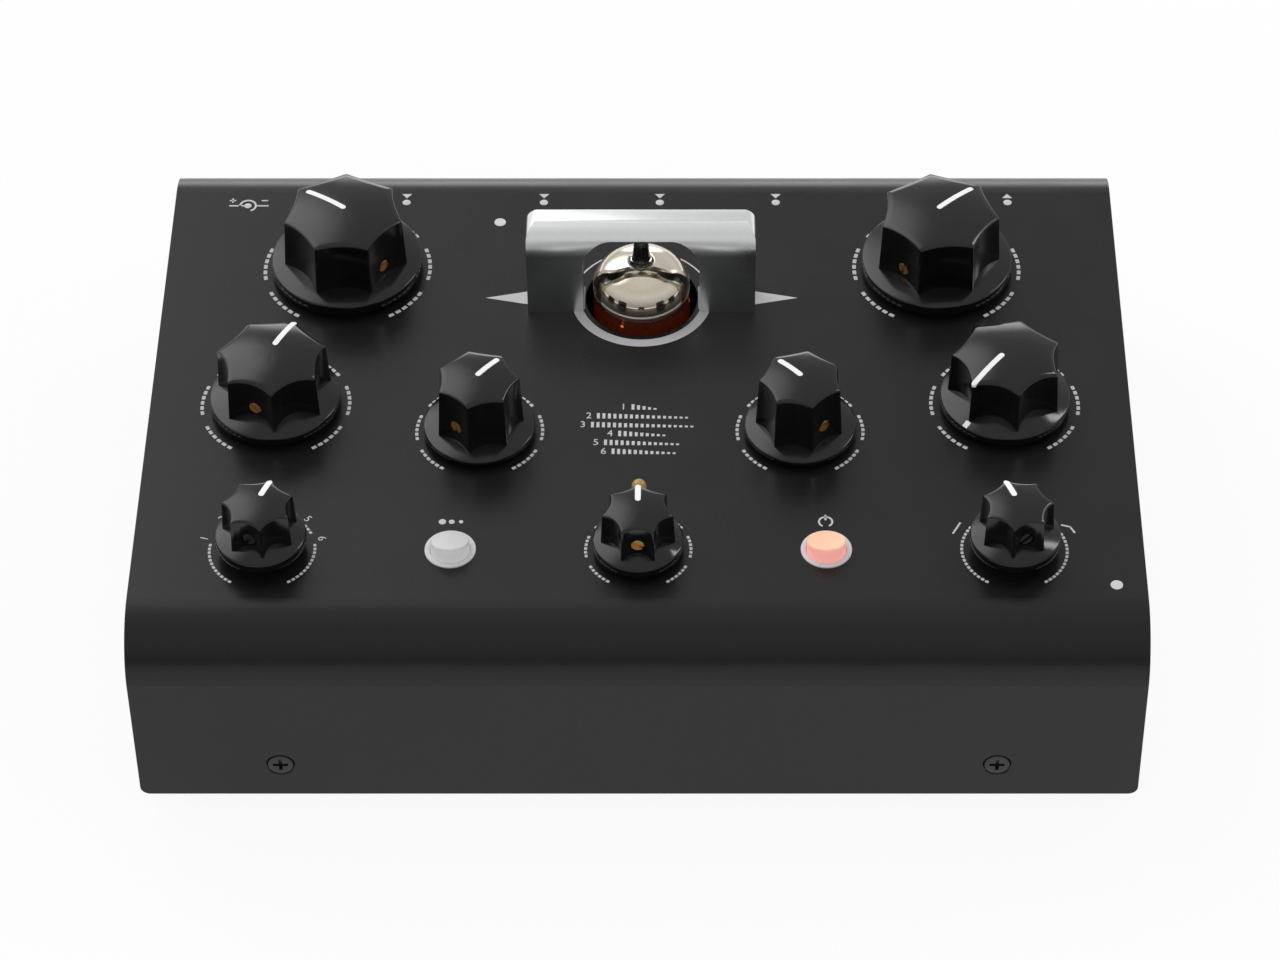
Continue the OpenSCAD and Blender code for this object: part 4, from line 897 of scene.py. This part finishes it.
# %% Buttons and lamp
CAP_R = 3.95
CAP_EDGE = 0.45
STEM_R = 1.7
FLANGE_R = 5.15
FLANGE_PLAY = 0.3
COVER_T = 1.5
BEZEL_R = 4.1
BEZEL_RIM_R = 5.2
NECK_R = BEZEL_R + 0.65
NECK_L = 1.6
flange_z = panel_z - COVER_T - FLANGE_PLAY
neck_z = panel_z - NECK_L
bezel_top = box_mm("button_bezels")[1][2]
for side, slot, material in (("left", "white_cap", white_cap), ("right", "orange_cap", orange_cap)):
    low, high = box_mm(side + "_button")
    profile = [
        (STEM_R - 0.3, low[2]), (STEM_R, low[2] + 0.3), (STEM_R, flange_z - 1),
        (FLANGE_R, flange_z - 1), (FLANGE_R, flange_z), (CAP_R, flange_z),
        *arc((CAP_R - CAP_EDGE, high[2] - CAP_EDGE), CAP_EDGE, 0, 85, 6), (1.6, high[2] - 0.01),
    ]
    button = turned(side + "_button_cap", profile, 64, close_tip=True)
    edit(button)
    pick(button, "VERT", lambda v: v.co.z > (panel_z + 0.5) * MM)
    bpy.ops.transform.translate(value=(0, 0, (panel_z + CAP_MID) * MM - high[2] * MM))
    pivot = (0, 0, (panel_z + CAP_MID - CAP_EDGE) * MM)
    bpy.ops.transform.rotate(value=CAP_LEAN, orient_axis="X", center_override=pivot)
    resize(1, 1 / cos(CAP_LEAN), 1, pivot)
    done()
    front = max(v.co.z for v in button.data.vertices if v.co.y < 0)
    print(button.name, "front edge", round(front / MM - panel_z, 2), "mm over the panel")
    settle(put(button, *middle(side + "_button")), side + "_push", material, angle=50)
    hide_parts(side + "_button")
    profile = [
        (BEZEL_R, neck_z), (NECK_R, neck_z), (NECK_R, panel_z), (BEZEL_RIM_R, panel_z),
        (BEZEL_RIM_R, bezel_top - 0.15), (BEZEL_RIM_R - 0.1, bezel_top - 0.04),
        (BEZEL_RIM_R - 0.2, bezel_top), (BEZEL_R + 0.12, bezel_top),
        (BEZEL_R + 0.04, bezel_top - 0.04), (BEZEL_R, bezel_top - 0.12),
    ]
    bezel = turned(side + "_bezel_ring", profile, 64, ring=True)
    settle(put(bezel, *middle(side + "_button")), "case", trim_grey, angle=40)
    if side == "left":
        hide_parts("button_bezels")

LAMP_R = 1.55
lamp_top = box_mm("amber_lamp")[1][2]
profile = [(LAMP_R, panel_z - COVER_T), *arc((0, lamp_top - LAMP_R), LAMP_R, 0, 84, 8)]
lamp = put(turned("amber_dome", profile, 40, close_tip=True), *middle("amber_lamp"))
settle(lamp, "case", amber, angle=60)
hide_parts("amber_lamp")
print("lamp height:", round(lamp_top - panel_z, 2))

# %% [markdown]
# ## Case screws
# Six countersunk screws hold the cover. The rim of each head is rounded and stands a little inside its
# seat, which leaves the thin dark ring that is seen round a real screw. One screw is turned, gets its
# cross recess from two thin blocks, and is copied.

# %% Case screws
HEAD_R = 2.62
RECESS_L = 3.1
RECESS_W = 0.72
RECESS_DEPTH = 1.1
head_profile = [(1.2, -7.0), (1.48, -6.7), (1.48, -1.72), (2.45, -0.75), (HEAD_R, -0.5), (HEAD_R, -0.28)]
head_profile += [(HEAD_R - 0.08, -0.1), (HEAD_R - 0.25, -0.02), (HEAD_R - 0.6, 0.0)]
screw_master = turned("screw_master", head_profile, 48)
for wide, high in ((RECESS_L, RECESS_W), (RECESS_W, RECESS_L)):
    carve(screw_master, block("recess", (-wide / 2, -high / 2, -RECESS_DEPTH), (wide / 2, high / 2, 1)))
screw_low, screw_high = box_mm("case_screws")
SEAT_R = 3.0
FRONT_X = 73.2
FRONT_Z = 14.0
LIP_Z = 33.5
PANEL_SCREW_Z = 19.5
PANEL_SCREW_IN = 1.7
rear_x = screw_high[0] - SEAT_R
rear_y = screw_high[1]
PAIRS = (
    (FRONT_X, screw_low[1], FRONT_Z, 1), (rear_x, rear_y, LIP_Z, -1),
    (rear_x, rear_y - PANEL_SCREW_IN, PANEL_SCREW_Z, -1),
)
places = [(side * x, y, z, way) for x, y, z, way in PAIRS for side in (-1, 1)]
case_screws = []
for x, y, z, way in places:
    screw = copy_of(screw_master, "screw")
    screw.rotation_euler = (way * pi / 2, 0, 0)
    case_screws.append(put(screw, x, y, z))
bpy.data.objects.remove(screw_master)
case_screws = joined("countersunk_screws", case_screws)
settle(case_screws, "case", black_screw)
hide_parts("case_screws")
print("case screws:", len(places))

# %% [markdown]
# ## Printed marks
# The panel carries a silk-screen print in light grey: rings of dashes round the knobs, a ring and two
# tapered pointers round the tube, dots over the rear sockets, numbers on the six-way selector and a few
# plain signs. Each mark is a thin sheet of ink on the panel. A dash is modelled once and spun round.

# %% Ink tools
INK_LOW = panel_z - 0.01
INK_TOP = panel_z + 0.04
INK_MID = panel_z + 0.02
front_y = box_mm("top_cover")[0][1]


def ink(name, strokes):
    """Joins the strokes of a print and fixes it to the panel."""
    settle(joined(name, strokes), "case", panel_ink)


def dash_run(radius, first, last, count, size):
    """A run of dashes on a circle about the origin, clockwise from the rear."""
    dash = block("dash", (-size[0] / 2, radius - size[1], INK_LOW), (size[0] / 2, radius, INK_TOP))
    round_edges(dash, 0.08, 1, lambda e: runs_along(e, 2))
    dash.rotation_euler.z = -radians(first)
    apply_place(dash)
    edit(dash)
    bpy.ops.mesh.select_all(action="SELECT")
    bpy.ops.mesh.spin(
        steps=count - 1, dupli=True, angle=radians(first - last), center=(0, 0, 0), axis=(0, 0, -1),
    )
    done()
    return dash


def dot(x, y, radius):
    """A round spot of ink."""
    profile = [(radius, INK_LOW), (radius, INK_TOP - 0.01), (radius - 0.02, INK_TOP)]
    return put(turned("dot", profile, 24), x, y)


def bar(x, y, width, height, turn=0.0):
    """A straight stroke of ink."""
    stroke = block("bar", (-width / 2, -height / 2, INK_LOW), (width / 2, height / 2, INK_TOP))
    stroke.rotation_euler.z = radians(turn)
    return put(stroke, x, y)


def figure(text, x, y, height, turn=0.0):
    """A number, from Blender's own letters, made a mesh before it is placed."""
    clear_selection()
    bpy.ops.object.text_add()
    letter = bpy.context.object
    letter.data.body = text
    letter.data.size = height * MM / 0.7
    letter.data.align_x = "CENTER"
    letter.data.align_y = "CENTER"
    letter.data.extrude = 0.02 * MM
    letter.data.resolution_u = 4
    bpy.ops.object.convert(target="MESH")
    letter = bpy.context.object
    letter.rotation_euler.z = radians(turn)
    return put(letter, x, y, INK_MID)


print("ink between", round(INK_LOW, 2), "and", round(INK_TOP, 2))

# %% [markdown]
# A pot turns through three quarters of a circle, and six runs of dashes follow it. The two selectors have
# runs of their own, with gaps for their figures and signs.

# %% Dashes round the knobs
RING = {
    "large": (18.15, 1.22, 0.8), "wide": (15.77, 1.06, 0.74),
    "medium": (13.42, 0.9, 0.68), "small": (10.98, 0.74, 0.6),
}
HALF_RUN = 14.3
POT_TURNS = [side * turn for side in (-1, 1) for turn in (39.5, 85.2, 131.0)]
POT_RUNS = [(turn - HALF_RUN, turn + HALF_RUN, 6) for turn in POT_TURNS]
SELECTOR_RUNS = {
    "front_left": [(-146, -83, 12), (83, 146, 12), (51.5, 63, 3)],
    "front_right": [(-146, -54.5, 17), (54.5, 146, 17)],
}
for control, (kind, turn) in CONTROLS.items():
    radius, *size = RING[kind]
    runs = SELECTOR_RUNS.get(control, POT_RUNS)
    ring = joined("dashes", [dash_run(radius, *run, size) for run in runs])
    ring.location = (*axis_of[control + "_turn"][:2], 0)
    apply_place(ring)
    ink("dashes_" + control, [ring])
print("dash rings:", len(CONTROLS))

# %% [markdown]
# A broad half ring lies in front of the tube and a thin one behind it. A short stroke is swept round to make
# each. The tapered pointers start as a block whose outer face is pulled out and narrowed three times.

# %% Ring and pointers round the tube
BROAD_RING = (13.0, 15.1)
THIN_RING = (14.6, 14.95)
TAPER_FROM = 12.1
TAPER_TO = 15.0
TAPER_HALF = 3.5
TAPER_PULLS = ((9.4, 2.0 / TAPER_HALF), (5.0, 0.45), (4.0, 0.02))


def swept(stroke, way, angle, steps):
    """Sweeps a stroke of ink round the origin, from its front side (-1) or its rear side (1)."""
    edit(stroke)
    pick(stroke, "FACE", lambda f: f.normal.y * way > 0.9)
    bpy.ops.mesh.spin(steps=steps, angle=radians(angle), center=(0, 0, 0), axis=(0, 0, -1))
    outward()
    return stroke


halves = []
for way, radii in ((-1, BROAD_RING), (1, THIN_RING)):
    left, right = sorted(way * radius for radius in radii)
    stroke = block("half_ring", (left, -0.1, INK_LOW), (right, 0.1, INK_TOP))
    halves.append(at_tube(swept(stroke, way, 180, 48)))
ink("ring_round_tube", halves)
for title, turn in (("left", pi), ("right", 0)):
    taper = block("taper", (TAPER_FROM, -TAPER_HALF, INK_LOW), (TAPER_TO, TAPER_HALF, INK_TOP))
    edit(taper)
    for pull, share in TAPER_PULLS:
        far = max(v.co.x for v in bmesh.from_edit_mesh(taper.data).verts)
        pick(taper, "FACE", lambda f: all(v.co.x > far - 1e-7 for v in f.verts))
        extrude(pull * MM, 0, 0)
        resize(1, share, 1)
    done()
    taper.rotation_euler.z = turn
    ink("taper_" + title, [at_tube(taper)])
print("tube print ready")

# %% [markdown]
# Plain signs stand where a maker would print words: a dot and an arrow over each rear socket, the polarity
# sign of the inlet, figures round the six-way selector with the same figures in a list of fading bars,
# three dots over the left button and a standby sign over the right one.

# %% Signs over the rear sockets
SIGN_Y = 56.05
ARROW_Y = SIGN_Y + 2.1
ARROW_W = 2.2
DOT_R = 0.9
SOCKETS = {-73.0: -1, -51.8: 1, -21.7: 1, 3.7: 1, 29.1: 1, 54.5: -1, 79.9: -1}
POLE_X = -86.5
POLE_Y = SIGN_Y - 1.1
POLE_BARS = (
    (-2.4, 0, 3.4, 0.4), (3.2, 0, 2.6, 0.4), (-3.4, 1.7, 1.4, 0.35), (-3.4, 1.7, 0.35, 1.4),
    (3.6, 1.7, 1.4, 0.35),
)


def arrow(x, y, width, way):
    """A small triangle that points to the front (1) or to the rear (-1)."""
    head = block("arrow", (-width / 2, -width * 0.3, INK_LOW), (width / 2, width * 0.3, INK_TOP))
    edit(head)
    pick(head, "FACE", lambda f: f.normal.y * way < -0.9)
    resize(0.05, 1, 1)
    done()
    return put(head, x, y)


def open_ring(x, y, inner, outer, turn, angle, steps):
    """A ring with a gap, swept from a short stroke that is turned to the start of the ring."""
    ring = swept(block("open_ring", (inner, -0.2, INK_LOW), (outer, 0.2, INK_TOP)), 1, angle, steps)
    ring.rotation_euler.z = radians(turn)
    return put(ring, x, y)


marks = [dot(x, SIGN_Y, DOT_R) for x in SOCKETS]
marks += [arrow(x, ARROW_Y, ARROW_W, way) for x, way in SOCKETS.items()]
marks += [open_ring(POLE_X, POLE_Y, 1.5, 1.95, -60, 240, 18), dot(POLE_X, POLE_Y, 0.8)]
marks += [bar(POLE_X + x, POLE_Y + y, width, height) for x, y, width, height in POLE_BARS]
ink("rear_signs", marks)
print("rear signs:", len(marks))

# %% [markdown]
# The six figures of the selector stand round it, and again in a list in the middle of the panel. Each row of
# the list is a run of bars that fade away, as repeats of a sound do.

# %% Figures and bars
LIST_TOP = front_y + 67.2
LIST_PITCH = 2.62
LIST_W = (8.2, 22.6, 25.0, 13.6, 19.4, 16.2)
LIST_FIGURE_H = 1.75
LIST_FIGURE_IN = 0.6
TAPS_IN = 2.6
TAPS_SHORT = 2.2
TAP_PITCH = 1.15
TAP_W = 0.62
TAP_H = 1.6
TAP_FADE = 0.72
FIGURE_R = 12.3
FIGURE_H = 1.7
FIRST_TURN = -75
DETENT = 30
SIGN_R = 13.0


def round_axis(control, radius, turn):
    """A place round the axis of a control, clockwise from the rear."""
    x, y = [v / MM for v in axis_of[control + "_turn"]][:2]
    return x + radius * sin(radians(turn)), y + radius * cos(radians(turn))


marks = []
for row, width in enumerate(LIST_W):
    y = LIST_TOP - row * LIST_PITCH
    marks.append(figure(str(row + 1), LIST_FIGURE_IN - width / 2, y, LIST_FIGURE_H))
    taps = int((width - TAPS_SHORT) / TAP_PITCH)
    for tap in range(taps):
        left = 1 - TAP_FADE * tap / (taps - 1)
        x = TAPS_IN - width / 2 + tap * TAP_PITCH
        marks.append(bar(x, y + TAP_H / 2 * (left - 1), TAP_W, TAP_H * left))
ink("mode_list", marks)

marks = []
for number in range(6):
    turn = FIRST_TURN + DETENT * number
    marks.append(figure(str(number + 1), *round_axis("front_left", FIGURE_R, turn), FIGURE_H, -turn))
ink("selector_figures", marks)
print("figures:", len(marks))

# %% [markdown]
# Three dots of falling size stand for a beat, a broken ring with a stroke for standby, and three bent lines
# at the right selector for a level, a falling and a rising response.

# %% Signs at the buttons and the right selector
BUTTON_SIGN_Y = front_y + 33.8
FILTER_SIGNS = (
    (-62, [(0, 0, 3.6, 0.4, 0)]),
    (32, [(-0.7, 0.3, 2.0, 0.4, 0), (0.9, -0.35, 1.9, 0.4, -45)]),
    (62, [(0.7, 0.3, 2.0, 0.4, 0), (-0.9, -0.35, 1.9, 0.4, 45)]),
)
button_x = middle("right_button")[0]
beat = ((-1, 0.75), (0, 0.6), (1, 0.45))
marks = [dot(-button_x + step * 1.9, BUTTON_SIGN_Y, radius) for step, radius in beat]
marks.append(open_ring(button_x, BUTTON_SIGN_Y, 1.15, 1.55, -52, 285, 20))
marks.append(bar(button_x, BUTTON_SIGN_Y + 1.2, 0.42, 1.5))
for turn, strokes in FILTER_SIGNS:
    sign = joined("filter_sign", [bar(*stroke) for stroke in strokes])
    sign.rotation_euler.z = -radians(turn)
    marks.append(put(sign, *round_axis("front_right", SIGN_R, turn)))
ink("button_signs", marks)
print("signs:", len(marks))

# %% [markdown]
# ## Stage, light and camera
# The floor is plain and pale. The camera and mirrors see it nearly white, as on a lit table, and the small
# share of plain matt paint that is left keeps the shadow.

# %% Floor
FLOOR_WHITE = 0.92
clear_selection()
bpy.ops.mesh.primitive_plane_add(size=8)
floor = named("floor")
floor_paint = bpy.data.materials.new("floor_paint")
floor_paint.use_nodes = True
tree = floor_paint.node_tree
tree.nodes.clear()
surface = tree.nodes.new("ShaderNodeOutputMaterial")
matt = tree.nodes.new("ShaderNodeBsdfDiffuse")
matt.inputs["Color"].default_value = (0.9, 0.9, 0.9, 1)
white = tree.nodes.new("ShaderNodeEmission")
white.inputs["Strength"].default_value = 1.0
ray = tree.nodes.new("ShaderNodeLightPath")
seen = ray.outputs["Is Camera Ray"]
for title in ("Is Transmission Ray", "Is Glossy Ray"):
    either = tree.nodes.new("ShaderNodeMath")
    either.operation = "MAXIMUM"
    tree.links.new(seen, either.inputs[0])
    tree.links.new(ray.outputs[title], either.inputs[1])
    seen = either.outputs["Value"]
share = map_range(tree, seen, 0.0, 1.0, (0.0, FLOOR_WHITE))
mixed = tree.nodes.new("ShaderNodeMixShader")
tree.links.new(share, mixed.inputs["Fac"])
tree.links.new(matt.outputs["BSDF"], mixed.inputs[1])
tree.links.new(white.outputs["Emission"], mixed.inputs[2])
tree.links.new(mixed.outputs["Shader"], surface.inputs["Surface"])
floor.data.materials.append(floor_paint)
print("floor:", floor.name)

# %% [markdown]
# The sky gives most of the light. It brightens upwards and to the rear, a wide soft window stands behind on
# the left, and a low glow behind the unit draws the line of light along the rear edge.

# %% Sky
SKY_STOPS = ((0.0, 0.1), (0.16, 0.28), (0.3, 0.4), (0.42, 0.55), (0.6, 0.7), (0.8, 0.62), (1.0, 0.75))
REARWARD = 0.25
WINDOW = (-48, 41, 37, 5, 2.05)
HORIZON = (0, 5, 18, 4, 2.7)
world = bpy.data.worlds.new("studio")
bpy.context.scene.world = world
world.use_nodes = True
sky = world.node_tree
sky.nodes.clear()
sky_out = sky.nodes.new("ShaderNodeOutputWorld")
glow = sky.nodes.new("ShaderNodeBackground")
direction = sky.nodes.new("ShaderNodeTexCoord").outputs["Generated"]
spread = map_range(sky, along(sky, direction, (0, REARWARD, 1)), -0.5, 1.1)
ramp = sky.nodes.new("ShaderNodeValToRGB")
for position, value in SKY_STOPS[1:-1]:
    ramp.color_ramp.elements.new(position)
for stop, (position, value) in zip(ramp.color_ramp.elements, SKY_STOPS):
    stop.position = position
    stop.color = (*grey(value), 1)
sky.links.new(spread, ramp.inputs["Fac"])


def toward(azimuth, elevation):
    """The direction of a place in the sky, by degrees from the rear and above the floor."""
    a, e = radians(azimuth), radians(elevation)
    return Vector((sin(a) * cos(e), cos(a) * cos(e), sin(e)))


def sky_patch(below, azimuth, elevation, outer, inner, peak):
    """Adds a soft round patch of light to a sky colour. Its place and its two radii are in degrees."""
    near = along(sky, direction, toward(azimuth, elevation))
    limits = cos(radians(outer)), cos(radians(inner))
    patch = map_range(sky, near, *limits, (0.0, peak), "SMOOTHERSTEP")
    total = sky.nodes.new("ShaderNodeMixRGB")
    total.blend_type = "ADD"
    total.inputs["Fac"].default_value = 1.0
    sky.links.new(below, total.inputs["Color1"])
    sky.links.new(patch, total.inputs["Color2"])
    return total.outputs["Color"]


lit = sky_patch(sky_patch(ramp.outputs["Color"], *WINDOW), *HORIZON)
sky.links.new(lit, glow.inputs["Color"])
glow.inputs["Strength"].default_value = 1.0
sky.links.new(glow.outputs["Background"], sky_out.inputs["Surface"])
print("sky ready")

# %% [markdown]
# One narrow lamp on the right draws the thin lines of light along the knobs' edges. Its power follows from
# how bright its face is, so its size can change without changing what a mirror shows.

# %% Lamp
LAMP_W = 0.12
LAMP_H = 0.5
LAMP_WAY = (62, 40)
LAMP_AWAY = 1.2
LAMP_AIM = (0, 0, 0.04)
LAMP_RADIANCE = 9.0
clear_selection()
bpy.ops.object.light_add(type="AREA")
edge_lamp = bpy.context.object
edge_lamp.name = "edge_lamp"
away = toward(*LAMP_WAY)
edge_lamp.location = Vector(LAMP_AIM) + away * LAMP_AWAY
edge_lamp.rotation_euler = away.to_track_quat("Z", "Y").to_euler()
edge_lamp.data.shape = "RECTANGLE"
edge_lamp.data.size = LAMP_W
edge_lamp.data.size_y = LAMP_H
edge_lamp.data.energy = LAMP_RADIANCE * pi * LAMP_W * LAMP_H
print("edge lamp:", round(edge_lamp.data.energy, 2), "W")

# %% [markdown]
# The camera stands where the photograph was taken from: its place, pitch and focal length were fitted to the
# edges of the case. The shift puts the middle of the picture beside the camera's axis.

# %% Camera
PICTURE_W = 1280
FOCAL_PX = 4449
PITCH = 45.4
SENSOR = 36
CAMERA_AT = (0.0125, -0.67205, 0.7021)
SHIFT_PX = (-60.0, 0.4)
clear_selection()
bpy.ops.object.camera_add(location=CAMERA_AT, rotation=(radians(90 - PITCH), 0, 0))
camera = bpy.context.object
camera.data.sensor_width = SENSOR
camera.data.lens = SENSOR * FOCAL_PX / PICTURE_W
camera.data.shift_x = SHIFT_PX[0] / PICTURE_W
camera.data.shift_y = SHIFT_PX[1] / PICTURE_W
bpy.context.scene.camera = camera
bpy.context.scene.view_settings.view_transform = "Standard"
print("lens:", round(camera.data.lens, 1), "mm")
